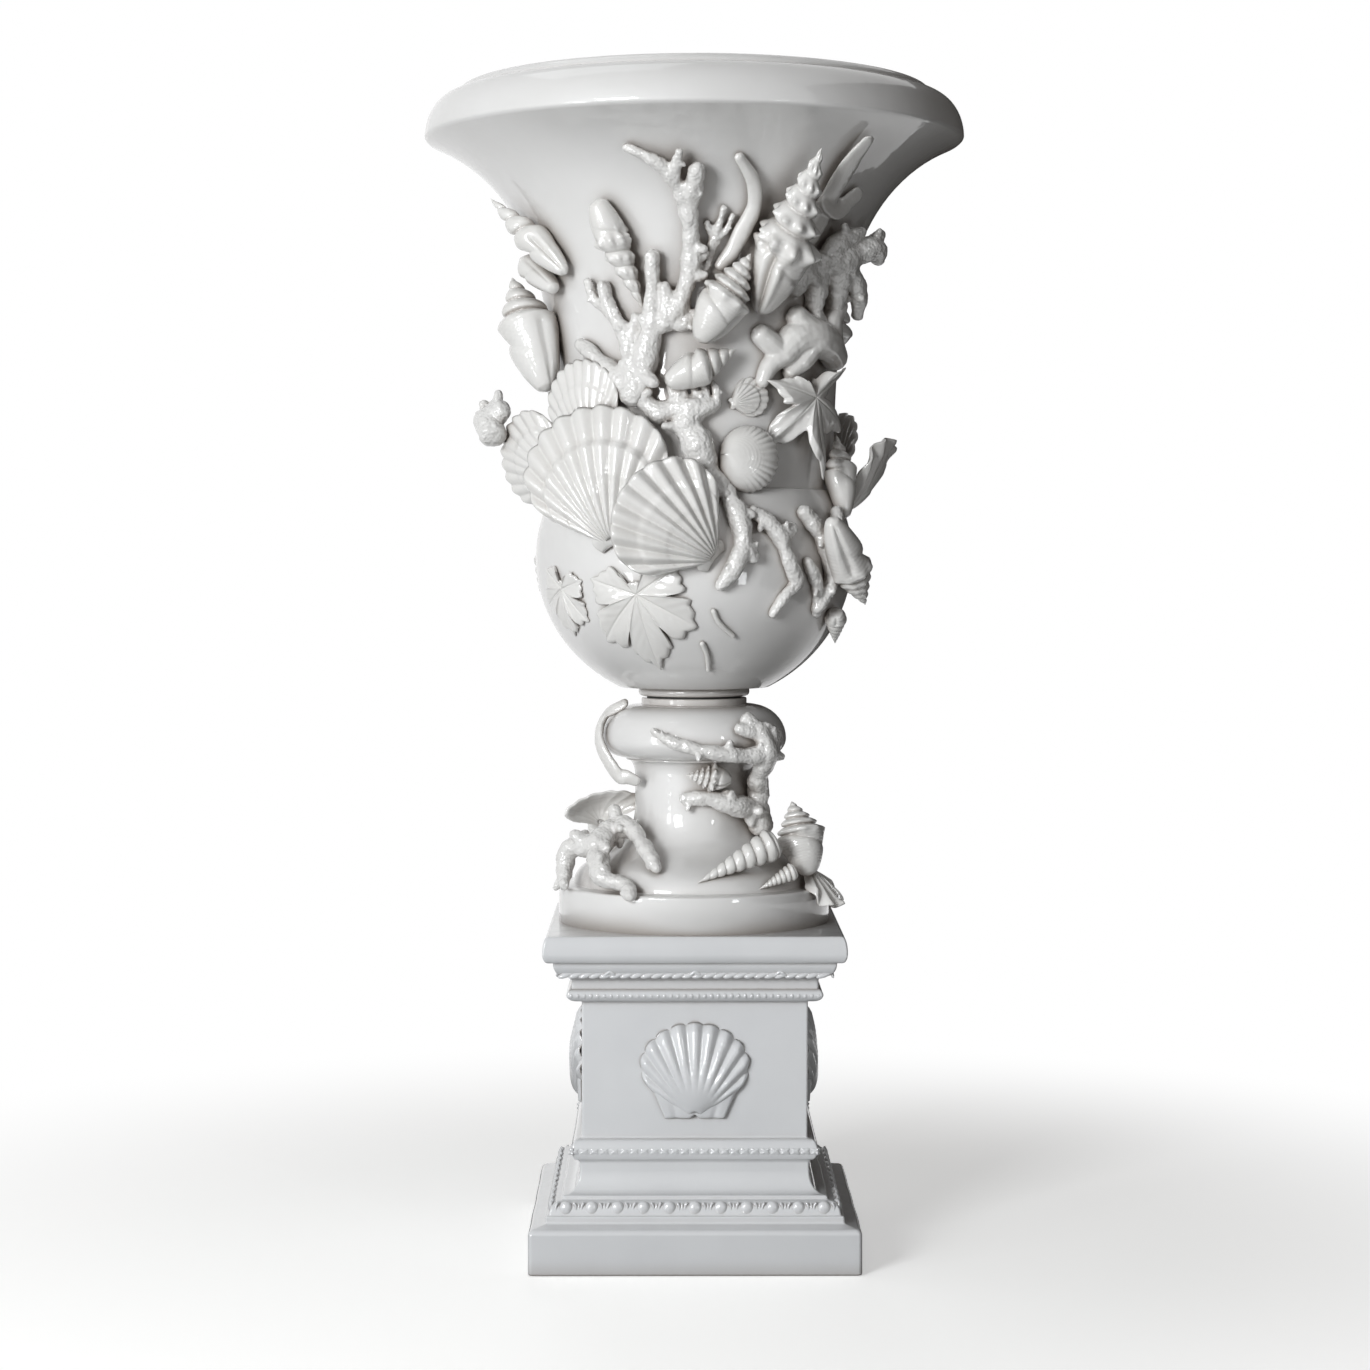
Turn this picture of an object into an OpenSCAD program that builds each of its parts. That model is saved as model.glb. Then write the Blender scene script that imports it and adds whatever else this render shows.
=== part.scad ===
// Garden vase in white glazed earthenware: a bowl and a foot bolted together by a tie rod, standing
// loose on a square pedestal, and dressed with shells, corals and vine leaves luted on one by one.
// Millimetres, +Z up, front towards -Y, origin under the centre of the pedestal.

/* [Pedestal] */
// Width of the square plinth
plinth_w = 340; // [320:1:380]
// Height of the plinth block
plinth_h = 47; // [35:1:60]
// Rounding of the plinth's upper edge
plinth_round = 5; // [2:1:8]
// Height of the mouldings between plinth and dado
base_mould_h = 84; // [70:1:100]
// Width of the dado, the plain middle block
dado_w = 233; // [225:1:245]
// Height of the dado
dado_h = 141; // [135:1:170]
// Width of the cap slab at its fullest
cap_w = 311; // [305:1:330]
// Height of the mouldings and slab of the cap
cap_h = 72; // [60:1:85]
// Wall thickness of the hollow pedestal
pedestal_wall = 13; // [9:1:18]
// Width of the scallop on each face of the dado
relief_shell_w = 113; // [80:1:125]
// Height of that scallop above its hinge
relief_shell_h = 92; // [70:1:105]
// How far that scallop stands out
relief_shell_rise = 17; // [10:1:24]

/* [Foot] */
// Height of the foot
foot_h = 237; // [225:1:255]
// Radius of the ring it stands on
ring_r = 144; // [140:1:148]
// Height of that ring
ring_h = 39; // [32:1:46]
// Radius of the bell where it leaves the ring
bell_r = 129; // [124:1:134]
// Radius of the waist
waist_r = 63; // [58:1:68]
// Radius of the round cushion above the waist
cushion_r = 98; // [92:1:104]
// Radius of the collar at the seam
collar_r = 56; // [52:1:60]
// Wall thickness of the foot
foot_wall = 11; // [8:1:14]
// Width of the rim inside the ring that the foot stands on
tread_w = 24; // [16:1:30]

/* [Bowl] */
// Height of the bowl above the seam
bowl_h = 637; // [610:1:670]
// Radius of the bulb at its fullest
bulb_r = 168; // [163:1:173]
// Height of the fullest place above the seam, as a share of the bowl's height
bulb_up_share = 0.2292; // [0.22:0.001:0.238]
// Half height of the ellipse that the bulb follows, as a share of the bowl's height
bulb_half_share = 0.2433; // [0.239:0.001:0.251]
// Height of the ledge between bulb and body, as a share of the bowl's height
ledge_share = 0.3407; // [0.334:0.001:0.348]
// Radius of the body just above the ledge
throat_r = 146; // [142:1:149]
// Radius of the lip at its lower corner
lip_r = 284; // [276:1:290]
// Height of the rolled lip
lip_h = 54; // [46:1:60]
// Radius of the mouth at its top edge
mouth_r = 241; // [236:1:246]
// Wall thickness of the bowl
bowl_wall = 12; // [9:1:14]
// Thickness of the bowl's floor
floor_t = 15; // [12:1:20]

/* [Tie rod] */
// Diameter of the threaded rod that holds bowl and foot together
rod_d = 12; // [8:1:14]
// How far the rod reaches past each nut
rod_spare = 8; // [4:1:12]
// Width of a nut across its corners
nut_w = 21; // [18:1:24]
// Height of a nut
nut_h = 10; // [8:1:12]
// Diameter of the steel washers
washer_d = 70; // [60:1:80]
// Thickness of the steel washers
washer_t = 4; // [3:0.5:6]
// Thickness of the rubber pads under the washers
pad_t = 3; // [2:0.5:5]
// Thickness of the gasket in the seam
gasket_t = 2; // [1.5:0.5:3]

/* [Sea ornament] */
// How far the boldest shells stand out from the wall
relief = 60; // [56:1:64]
// Gap that the luted pieces keep to what they sit on
seat = 0.4; // [0.3:0.05:0.5]
// Girth radius of a full-size whelk
whelk_r = 26; // [22:1:28]
// Radius of a full-size coral branch
coral_r = 8; // [6:0.5:9]
// Length of a full-size scallop from hinge to margin
scallop_l = 150; // [140:1:156]
// Thickness of a shell's margin
shell_t = 4; // [3:0.5:5]
// Thickness of a leaf
leaf_t = 3.5; // [2.5:0.5:4.5]
// Length of a full-size vine leaf from its middle to its tip
leaf_l = 70; // [60:1:78]

/* [Hidden] */
$fn = 72;

// Steps in a round stretch of an outline
bend_steps = 6;
// Steps in a long free curve of an outline
curve_steps = 14;
// How far a cut runs past what it cuts
overrun = 1;
// Half the height over which the slope of the wall is felt
feel = 8;
// Play between the rod and the holes it passes
rod_play = 1.5;
// Play between the rod and the nuts' threads
thread_play = 0.1;
// Depth of the open groove round the gasket
groove_d = 6;
// Distance of a lifted pedestal scallop's back from the dado
relief_gap = 0.2;

pedestal_h = plinth_h + base_mould_h + dado_h + cap_h;
bowl_z = pedestal_h + foot_h + gasket_t;
top_z = bowl_z + bowl_h;
bulb_z = bowl_z + bowl_h * bulb_up_share;
bulb_half_h = bowl_h * bulb_half_share;
ledge_z = bowl_z + bowl_h * ledge_share;
lip_z = top_z - lip_h;
foot_web_z = bowl_z - gasket_t - foot_wall;
bowl_floor_z = bowl_z + floor_t;
glaze = "#f1f0ec";
steel = "#9c9fa1";
rubber = "#3b3b3a";

// Round stretch between two points: level first where mode is 2, upright first where it is 1
function bend(p, q, mode) = [
    for (i = [1 : bend_steps])
        let (t = 90 * i / bend_steps)
        mode == 1
            ? [q.x + (p.x - q.x) * cos(t), p.y + (q.y - p.y) * sin(t)]
            : [p.x + (q.x - p.x) * sin(t), q.y + (p.y - q.y) * cos(t)]
];

// Free curve with two pulls
function curve(a, b, c, d) = [
    for (i = [0 : curve_steps])
        let (t = i / curve_steps, s = 1 - t)
        s * s * s * a + 3 * s * s * t * b + 3 * s * t * t * c + t * t * t * d
];

// Outline from rows of [out share, up share, mode]; mode 0 is a straight line
function outline(rows, base, span) = [
    for (i = [0 : len(rows) - 1])
        let (q = base + [rows[i][0] * span.x, rows[i][1] * span.y])
        each rows[i][2] == 0
            ? [q]
            : bend(base + [rows[i - 1][0] * span.x, rows[i - 1][1] * span.y], q, rows[i][2])
];

// Mouldings above the plinth: fillet, ovolo for the egg and dart, cove, round bead
base_mould_shares = [
    [0.68, 0.035, 0], [0.68, 0.12, 0], [0.62, 0.125, 0], [0.44, 0.285, 1], [0.37, 0.29, 0],
    [0.37, 0.335, 0], [0.29, 0.34, 0], [0.035, 0.6, 2], [0.035, 0.71, 0], [0.09, 0.74, 0],
    [0.195, 0.865, 2], [0.08, 0.995, 1], [0, 1, 0]
];
// Mouldings under the cap: bead, cavetto, ovolo for the leaf band, full slab
cap_shares = [
    [0, 0.02, 0], [0.1, 0.02, 0], [0.38, 0.12, 2], [0.26, 0.21, 1], [0.26, 0.35, 0],
    [0.36, 0.39, 0], [0.73, 0.6, 2], [0.73, 0.62, 0], [0.86, 0.62, 0], [1, 0.76, 2],
    [0.86, 1, 1]
];
pedestal_side = concat(
    [[0, 0], [plinth_w / 2, 0], [plinth_w / 2, plinth_h - plinth_round]],
    bend([plinth_w / 2, plinth_h - plinth_round], [plinth_w / 2 - plinth_round, plinth_h], 1),
    outline(base_mould_shares, [dado_w / 2, plinth_h], [(plinth_w - dado_w) / 2, base_mould_h]),
    outline(cap_shares, [dado_w / 2, pedestal_h - cap_h], [(cap_w - dado_w) / 2, cap_h]),
    [[0, pedestal_h]]
);

// Outer side of the foot from the ring to the seam, in radii and heights above the pedestal
ring_round = 3;
bell_low = ring_h + 1;
waist_low = foot_h * 0.51;
waist_high = foot_h * 0.66;
cushion_low = foot_h * 0.735;
cushion_up = foot_h * 0.817;
cushion_top = foot_h * 0.969;
foot_side = [
    for (p = concat(
        [[ring_r, 0], [ring_r, ring_h - ring_round]],
        bend([ring_r, ring_h - ring_round], [ring_r - ring_round, ring_h], 1),
        curve([bell_r, bell_low], [bell_r * 0.96, bell_low + (waist_low - bell_low) * 0.44],
            [waist_r * 1.01, bell_low + (waist_low - bell_low) * 0.26], [waist_r, waist_low]),
        [[waist_r, waist_high]],
        bend([waist_r, waist_high], [waist_r * 1.15, cushion_low - foot_wall / 4], 1),
        [[waist_r * 1.15, cushion_low], [waist_r * 1.2, cushion_low]],
        bend([waist_r * 1.2, cushion_low], [cushion_r, cushion_up], 2),
        bend([cushion_r, cushion_up], [collar_r * 1.07, cushion_top], 1),
        [[collar_r, cushion_top], [collar_r, foot_h]]
    )) [p.x, pedestal_h + p.y]
];

// Outer side of the bowl from the seam to the lip, in radii and heights
neck_ring_h = 9;
neck_ring_out = 3;
lip_lap = 3;
bead_w = 12;
bead_h = 9;
function bulb_at(z, wall) =
    (bulb_r - wall) * sqrt(1 - pow((z - bulb_z) / (bulb_half_h - wall), 2));
neck_z = bowl_z + neck_ring_h;
bowl_side = concat(
    [[collar_r, bowl_z]],
    bend([collar_r, bowl_z], [collar_r + neck_ring_out, bowl_z + neck_ring_h / 2], 2),
    bend([collar_r + neck_ring_out, bowl_z + neck_ring_h / 2], [collar_r, neck_z], 1),
    [
        for (i = [0 : curve_steps])
            let (z = neck_z + (ledge_z - neck_z) * pow(i / curve_steps, 1.35))
            [bulb_at(z, 0), z]
    ],
    curve([throat_r, ledge_z], [throat_r * 1.056, ledge_z + (lip_z - ledge_z) * 0.384],
        [throat_r * 0.936, ledge_z + (lip_z - ledge_z) * 0.836], [lip_r - lip_lap, lip_z])
);
lip_side = concat(
    [[lip_r, lip_z + lip_lap]],
    bend([lip_r, lip_z + lip_lap], [mouth_r + bead_w, top_z - bead_h], 1),
    [[mouth_r + bead_w * 0.8, top_z - bead_h]],
    bend([mouth_r + bead_w * 0.8, top_z - bead_h], [mouth_r, top_z], 1)
);
// The wall that the ornaments sit on, as heights and radii
skin = [for (p = concat(foot_side, bowl_side)) [p.y, p.x]];

function unit(v) = v / norm(v);
function slope_at(z) = atan((lookup(z + feel, skin) - lookup(z - feel, skin)) / (2 * feel));
function on_skin(a, z, off) =
    let (s = slope_at(z), r = lookup(z, skin) + off * cos(s))
    [r * sin(a), -r * cos(a), z - off * sin(s)];
// A spot is [degrees to the right of the front, height share, stand-off share of the relief]
function on_bowl(s) = on_skin(s[0], bowl_z + s[1] * bowl_h, s[2] * relief);
function on_foot(s) = on_skin(s[0], pedestal_h + s[1] * foot_h, s[2] * relief);
function outward(p, q) = let (m = p + q) unit([m.x, m.y, 0]);

// Faces of a closed form made of a start pole, rings of m points and an end pole
function ring_faces(rings, m) = concat(
    [for (i = [0 : m - 1]) [0, 1 + (i + 1) % m, 1 + i]],
    [
        for (j = [0 : rings - 2], i = [0 : m - 1])
            let (a = 1 + j * m + i, b = 1 + j * m + (i + 1) % m)
            each [[a, b, b + m], [a, b + m, a + m]]
    ],
    [
        for (i = [0 : m - 1])
            let (a = 1 + (rings - 1) * m)
            [a + i, a + (i + 1) % m, a + m]
    ]
);

// Faces of a shell of two grids, u by v cells each, joined round their edge
function sheet_faces(u, v) =
    let (w = u + 1, n = w * (v + 1))
    concat(
        [
            for (j = [0 : v - 1], i = [0 : u - 1])
                let (a = j * w + i)
                each [
                    [a, a + w, a + w + 1], [a, a + w + 1, a + 1],
                    [n + a, n + a + w + 1, n + a + w], [n + a, n + a + 1, n + a + w + 1]
                ]
        ],
        [
            for (i = [0 : u - 1], e = [0, 1])
                let (a = e * v * w + i, b = a + 1)
                each e == 0 ? [[a, b, n + b], [a, n + b, n + a]] : [[b, a, n + a], [b, n + a, n + b]]
        ],
        [
            for (j = [0 : v - 1], e = [0, 1])
                let (a = j * w + e * u, b = a + w)
                each e == 0 ? [[b, a, n + a], [b, n + a, n + b]] : [[a, b, n + b], [a, n + b, n + a]]
        ]
    );

// Moulds of the spiral shells:
// [whorls, place of the shoulder, swell of a whorl, knobs, flare of the lip, width of the canal]
whelk_mould_shares = [4, 0.42, 0.3, 0.1, 0.3, 0.16];
spindle_mould_shares = [5, 0.58, 0.32, 0.16, 0.4, 0.14];
auger_mould_shares = [6, 0.86, 0.26, 0, 0, 0.5];
turret_mould_shares = [4, 0.66, 0.3, 0.08, 0.2, 0.3];
moon_mould_shares = [3, 0.5, 0.22, 0, 0.2, 0.3];
olive_mould_shares = [2, 0.3, 0.14, 0, 0.1, 0.3];
snail_sides = 8;
rings_per_whorl = 3;
body_rings = 5;

function fraction(x) = x - floor(x);
function girth_share(s, m) = s < m[1]
    ? pow(s / m[1], 0.9)
    : m[5] + (1 - m[5]) * pow(cos(90 * (s - m[1]) / (1 - m[1])), 0.62);
function snail_share(s, i, m) =
    let (
        phi = i / snail_sides,
        turn = m[0] * pow(s / m[1], 0.7),
        fade = s < m[1] ? 1 : max(0, 1 - (s - m[1]) / 0.12),
        body = s < m[1] ? 0 : sin(180 * (s - m[1]) / (1 - m[1])),
        shoulder = exp(-pow((s - m[1]) / 0.09, 2))
    )
    girth_share(s, m)
        * (1 + fade * m[2] * (sin(180 * fraction(turn - phi)) - 0.6))
        * (1 + m[3] * shoulder * (i % 2))
        * (1 + m[4] * body * exp(-pow((phi - 0.5) / 0.14, 2)));

// Spiral shell from its tip at p to the end of its canal at q, r being its radius at the shoulder
module spiral_shell(p, q, r, mould) {
    y = unit(q - p);
    z = unit(outward(p, q) - (outward(p, q) * y) * y);
    x = cross(y, z);
    whorl_rings = mould[0] * rings_per_whorl;
    places = concat(
        [for (i = [1 : whorl_rings]) mould[1] * pow(i / whorl_rings, 1 / 0.7)],
        [for (i = [1 : body_rings]) mould[1] + (1 - mould[1]) * i / (body_rings + 0.3)]
    );
    points = [
        p,
        for (s = places, i = [0 : snail_sides - 1])
            let (k = r * snail_share(s, i, mould), t = 360 * i / snail_sides)
            p + s * (q - p) + k * (cos(t) * x + sin(t) * z),
        q
    ];
    polyhedron(points, ring_faces(len(places), snail_sides));
}

// Fan of a scallop, as shares of its length, with one fold a rib
fan_half_angle = 56;
fan_rows = 3;
rib_share = 0.85;
function fan_reach(t) = pow(cos(t), 0.42) * (1 - 0.3 * pow(abs(t) / fan_half_angle, 7));

// Scallop with its hinge at p and the middle of its margin at q, w wide and standing rise proud
module scallop(p, q, w, rise, ribs, lean = 0) {
    l = norm(q - p);
    y = unit(q - p);
    z0 = unit(outward(p, q) - (outward(p, q) * y) * y);
    x0 = cross(y, z0);
    x = x0 * cos(lean) - z0 * sin(lean);
    z = x0 * sin(lean) + z0 * cos(lean);
    cols = 2 * ribs;
    widest = max([for (i = [0 : cols]) fan_x(i, cols, 1)]);
    function fan_angle(i, cols) = fan_half_angle * (2 * i / cols - 1);
    function fan_x(i, cols, s) =
        s * fan_reach(fan_angle(i, cols)) * sin(fan_angle(i, cols));
    function crown(i, s) =
        let (side = pow(max(0, cos(90 * fan_angle(i, cols) / fan_half_angle)), 0.55))
        side * sin(180 * pow(s, 0.62)) * rise + (i % 2) * rib_share * shell_t * s;
    function shell_point(i, j, up) =
        let (s = 0.07 + 0.93 * pow(j / fan_rows, 1.2), a = fan_angle(i, cols))
        p + x * (w / 2) * fan_x(i, cols, s) / widest
            + y * l * s * fan_reach(a) * cos(a)
            + z * (max(0, crown(i, s) - (1 - up) * shell_t) + up * shell_t);
    points = [for (up = [1, 0], j = [0 : fan_rows], i = [0 : cols]) shell_point(i, j, up)];
    polyhedron(points, sheet_faces(cols, fan_rows));
}

// Vine leaf with five lobes laid on the wall, its tip turned by roll from straight down
leaf_sides = 30;
leaf_rows_shares = [0.55, 1];
function lobe(i) =
    let (t = 360 * i / leaf_sides)
    (0.73 + 0.27 * pow(abs(cos(2.5 * t)), 1.3)) * (i % 2 == 0 ? 1 : 0.9) * (1 + 0.12 * cos(t));
function laid(spot, x, y, off, foot) =
    let (
        z0 = foot ? pedestal_h + spot[1] * foot_h : bowl_z + spot[1] * bowl_h,
        r0 = lookup(z0, skin) + spot[2] * relief
    )
    on_skin(spot[0] + x / r0 * 180 / PI, z0 + y, off);
module vine_leaf(spot, l, roll, curl = 0, wave = 0, stretch = 1, foot = false) {
    function leaf_point(i, s, up) =
        let (
            t = 360 * i / leaf_sides + roll,
            r = l * s * lobe(i),
            lift = spot[2] * relief + seat + s * s * (curl + wave * cos(3 * (t - roll)))
        )
        laid(spot, r * sin(t), -stretch * r * cos(t), max(seat, lift) + up * leaf_t, foot);
    points = concat(
        [leaf_point(0, 0, 1)],
        [for (s = leaf_rows_shares, i = [0 : leaf_sides - 1]) leaf_point(i, s, 1)],
        [for (s = [1, 0.55], i = [0 : leaf_sides - 1]) leaf_point(i, s, 0)],
        [leaf_point(0, 0, 0)]
    );
    polyhedron(points, ring_faces(4, leaf_sides));
}

// One branch of a coral as a six-sided tube along its places, with blunt pointed ends
limb_sides = 6;
tip_share = 0.9;
module limb(places, radii) {
    last = len(places) - 1;
    function heading(i) = unit(places[min(i + 1, last)] - places[max(i - 1, 0)]);
    points = [
        places[0] - heading(0) * radii[0] * tip_share,
        for (i = [0 : last], k = [0 : limb_sides - 1])
            let (
                y = heading(i),
                out = unit([places[i].x, places[i].y, 0]),
                z = unit(out - (out * y) * y),
                x = cross(y, z),
                t = 360 * k / limb_sides
            )
            places[i] + radii[i] * (cos(t) * x + sin(t) * z),
        places[last] + heading(last) * radii[last] * tip_share
    ];
    polyhedron(points, ring_faces(last + 1, limb_sides));
}

// Coral from paths of [degrees, height share, stand-off share, thickness share]; a path after the
// first starts on a point of an earlier one
module coral(paths, foot = false) {
    union()
        for (path = paths)
            limb([for (s = path) foot ? on_foot(s) : on_bowl(s)], [for (s = path) coral_r * s[3]]);
}

// Hollow pedestal, its mouldings mitred at the corners and its bottom open
module moulding_run() {
    rotate([90, 0, 0])
        linear_extrude(height = plinth_w, center = true)
            polygon(concat(pedestal_side, [for (i = [len(pedestal_side) - 1 : -1 : 0])
                [-pedestal_side[i].x, pedestal_side[i].y]]));
}
module pedestal() {
    inner_w = dado_w - 2 * pedestal_wall;
    plinth_inner_w = plinth_w - 2 * pedestal_wall - 2 * plinth_round;
    color(glaze)
        difference() {
            intersection() {
                moulding_run();
                rotate([0, 0, 90])
                    moulding_run();
            }
            translate([-inner_w / 2, -inner_w / 2, -overrun])
                cube([inner_w, inner_w, pedestal_h - pedestal_wall + overrun]);
            translate([-plinth_inner_w / 2, -plinth_inner_w / 2, -overrun])
                cube([plinth_inner_w, plinth_inner_w, plinth_h - pedestal_wall + overrun]);
        }
}

// Scallop on one face of the dado, its hinge and ears below
relief_ribs = 11;
relief_hinge_share = 0.2;
ear_w_share = 0.62;
ear_h_share = 0.17;
module pedestal_scallop(turn) {
    z = plinth_h + base_mould_h + dado_h * relief_hinge_share;
    face = dado_w / 2 + relief_gap;
    ear_w = relief_shell_w * ear_w_share;
    ear_h = relief_shell_h * ear_h_share;
    color(glaze)
        rotate([0, 0, turn]) {
            scallop([0, -face, z], [0, -face, z + relief_shell_h], relief_shell_w,
                relief_shell_rise - shell_t, relief_ribs);
            translate([0, -face, z - ear_h * 0.4])
                rotate([90, 0, 0])
                    linear_extrude(height = shell_t * 1.3)
                        polygon([[-ear_w * 0.46, 0], [ear_w * 0.46, 0], [ear_w * 0.5, ear_h * 1.1],
                            [ear_w * 0.3, ear_h * 1.3], [-ear_w * 0.3, ear_h * 1.3],
                            [-ear_w * 0.5, ear_h * 1.1]]);
        }
}
module pedestal_scallop_front() { pedestal_scallop(0); }
module pedestal_scallop_right() { pedestal_scallop(90); }
module pedestal_scallop_back() { pedestal_scallop(180); }
module pedestal_scallop_left() { pedestal_scallop(270); }

// Hollow foot, open below, with a web at its top for the tie rod
module foot() {
    inner = concat(
        [[0, pedestal_h - overrun], [ring_r - tread_w, pedestal_h - overrun],
            [ring_r - tread_w, pedestal_h + ring_h * 0.5]],
        [
            for (p = curve([bell_r - foot_wall, bell_low], [bell_r * 0.8, bell_low + ring_h * 0.5],
                [waist_r - foot_wall, bell_low + ring_h * 0.1], [waist_r - foot_wall, waist_low]))
                [p.x, pedestal_h + p.y]
        ],
        [[waist_r - foot_wall, pedestal_h + waist_high]],
        bend([waist_r - foot_wall, pedestal_h + waist_high],
            [cushion_r - 2 * foot_wall, pedestal_h + cushion_up], 1),
        bend([cushion_r - 2 * foot_wall, pedestal_h + cushion_up], [washer_d / 2 + foot_wall / 2,
            foot_web_z], 1),
        [[0, foot_web_z]]
    );
    color(glaze)
        difference() {
            rotate_extrude()
                polygon(concat([[0, pedestal_h]], foot_side, [[0, foot_side[len(foot_side) - 1].y]]));
            rotate_extrude()
                polygon(inner);
            translate([0, 0, foot_web_z - overrun])
                cylinder(h = foot_wall + 2 * overrun, d = rod_d + 2 * rod_play);
        }
}

// Hollow bowl with its bulb, flare and rolled lip
module bowl() {
    lower = [
        for (i = [0 : curve_steps])
            let (z = bowl_floor_z + (ledge_z - bowl_floor_z) * pow(i / curve_steps, 1.2))
            [bulb_at(z, bowl_wall), z]
    ];
    flare_h = lip_z - ledge_z;
    upper = curve([throat_r - bowl_wall, ledge_z + bowl_wall],
        [throat_r - bowl_wall * 0.2, ledge_z + flare_h * 0.384],
        [throat_r * 0.85, ledge_z + flare_h * 0.88], [mouth_r - bowl_wall * 0.6, top_z - bowl_wall]);
    color(glaze)
        difference() {
            rotate_extrude()
                polygon(concat([[0, bowl_z]], bowl_side, lip_side, [[0, top_z]]));
            rotate_extrude()
                polygon(concat([[0, bowl_floor_z]], lower, upper,
                    [[mouth_r - bowl_wall * 0.3, top_z], [mouth_r - bowl_wall * 0.3, top_z + overrun],
                        [0, top_z + overrun]]));
            translate([0, 0, bowl_z - overrun])
                cylinder(h = floor_t + 2 * overrun, d = rod_d + 2 * rod_play);
        }
}

// Everything that clamps the bowl to the foot
module seam_gasket() {
    color(rubber)
        translate([0, 0, bowl_z - gasket_t])
            difference() {
                cylinder(h = gasket_t, r = collar_r - groove_d);
                translate([0, 0, -overrun])
                    cylinder(h = gasket_t + 2 * overrun, d = rod_d + 2 * rod_play);
            }
}
stack_h = pad_t + washer_t;
module tie_rod() {
    bottom = foot_web_z - stack_h - nut_h - rod_spare;
    color(steel)
        translate([0, 0, bottom])
            cylinder(h = bowl_floor_z + stack_h + nut_h + rod_spare - bottom, d = rod_d);
}
module disc(z, h, outer_d, inner_d, sides = $fn) {
    translate([0, 0, z])
        difference() {
            cylinder(h = h, d = outer_d, $fn = sides);
            translate([0, 0, -overrun])
                cylinder(h = h + 2 * overrun, d = inner_d);
        }
}
module rod_nuts() {
    color(steel)
        for (z = [bowl_floor_z + stack_h, foot_web_z - stack_h - nut_h])
            disc(z, nut_h, nut_w, rod_d + 2 * thread_play, 6);
}
module rod_washers() {
    color(steel)
        for (z = [bowl_floor_z + pad_t, foot_web_z - stack_h])
            disc(z, washer_t, washer_d, rod_d + rod_play);
}
module rod_pads() {
    color(rubber)
        for (z = [bowl_floor_z, foot_web_z - pad_t])
            disc(z, pad_t, washer_d, rod_d + rod_play);
}

// Pieces on the upper bowl
module spindle_shell_left() {
    color(glaze)
        spiral_shell(on_bowl([-73, 0.83, 0.319]), on_bowl([-47, 0.688, 0.259]), whelk_r * 0.6,
            spindle_mould_shares);
}
module oval_shell_left() {
    color(glaze)
        spiral_shell(on_bowl([-76, 0.728, 0.283]), on_bowl([-54, 0.665, 0.283]), whelk_r * 0.56,
            olive_mould_shares);
}
module great_whelk_left() {
    color(glaze)
        spiral_shell(on_bowl([-77, 0.7, 0.517]), on_bowl([-61, 0.5, 0.397]), whelk_r * 1.1,
            whelk_mould_shares);
}
module turret_shell_upright() {
    color(glaze)
        spiral_shell(on_bowl([-18, 0.618, 0.134]), on_bowl([-29, 0.8, 0.234]), whelk_r * 0.62,
            turret_mould_shares);
}
module staghorn_coral() {
    color(glaze)
        coral([
            [[-23, 0.49, 0.184, 1.5], [-19, 0.526, 0.204, 1.45], [-15.5, 0.585, 0.204, 1.3],
                [-9, 0.61, 0.204, 1.2], [-5, 0.635, 0.204, 1.15], [-1.5, 0.698, 0.224, 1.05],
                [-2, 0.775, 0.244, 1], [-6, 0.83, 0.244, 0.85], [-11, 0.855, 0.204, 0.7],
                [-17, 0.869, 0.124, 0.45]],
            [[-2, 0.775, 0.244, 1], [0.3, 0.842, 0.264, 0.95]],
            [[-15.5, 0.585, 0.204, 1.3], [-14.4, 0.645, 0.224, 0.95], [-14, 0.708, 0.244, 0.8]],
            [[-23, 0.49, 0.184, 1.5], [-24, 0.57, 0.204, 1.05], [-31, 0.625, 0.184, 0.85],
                [-33, 0.664, 0.184, 0.65]],
            [[-24, 0.57, 0.204, 1.05], [-20.5, 0.61, 0.224, 0.7]],
            [[-23, 0.49, 0.184, 1.5], [-33, 0.53, 0.164, 1.1], [-41, 0.556, 0.144, 0.95],
                [-47, 0.572, 0.124, 0.7]],
            [[-9, 0.61, 0.204, 1.2], [-10, 0.66, 0.264, 0.6]],
            [[-6, 0.83, 0.244, 0.85], [-4, 0.865, 0.224, 0.5]]
        ]);
}
module slender_coral() {
    color(glaze)
        coral([
            [[3, 0.672, 0.076, 0.6], [6, 0.73, 0.096, 0.55], [8.5, 0.778, 0.096, 0.42]],
            [[6, 0.73, 0.096, 0.55], [3.5, 0.755, 0.096, 0.4]]
        ]);
}
module finger_coral() {
    color(glaze)
        coral([
            [[12, 0.71, 0.11, 0.85], [15, 0.745, 0.13, 0.85], [17.5, 0.785, 0.16, 0.8],
                [15.5, 0.824, 0.16, 0.7], [11, 0.853, 0.12, 0.55]],
            [[12, 0.71, 0.11, 0.85], [8.5, 0.69, 0.1, 0.6]]
        ]);
}
module whelk_middle() {
    color(glaze)
        spiral_shell(on_bowl([17, 0.715, 0.374]), on_bowl([1, 0.57, 0.454]), whelk_r * 0.92,
            whelk_mould_shares);
}
module great_spindle_shell() {
    color(glaze)
        spiral_shell(on_bowl([30, 0.88, 0.246]), on_bowl([23, 0.615, 0.186]), whelk_r * 1.04,
            spindle_mould_shares);
}
module moon_snail() {
    color(glaze)
        spiral_shell(on_bowl([14, 0.56, 0.346]), on_bowl([-10, 0.505, 0.406]), whelk_r * 0.7,
            moon_mould_shares);
}
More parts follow.
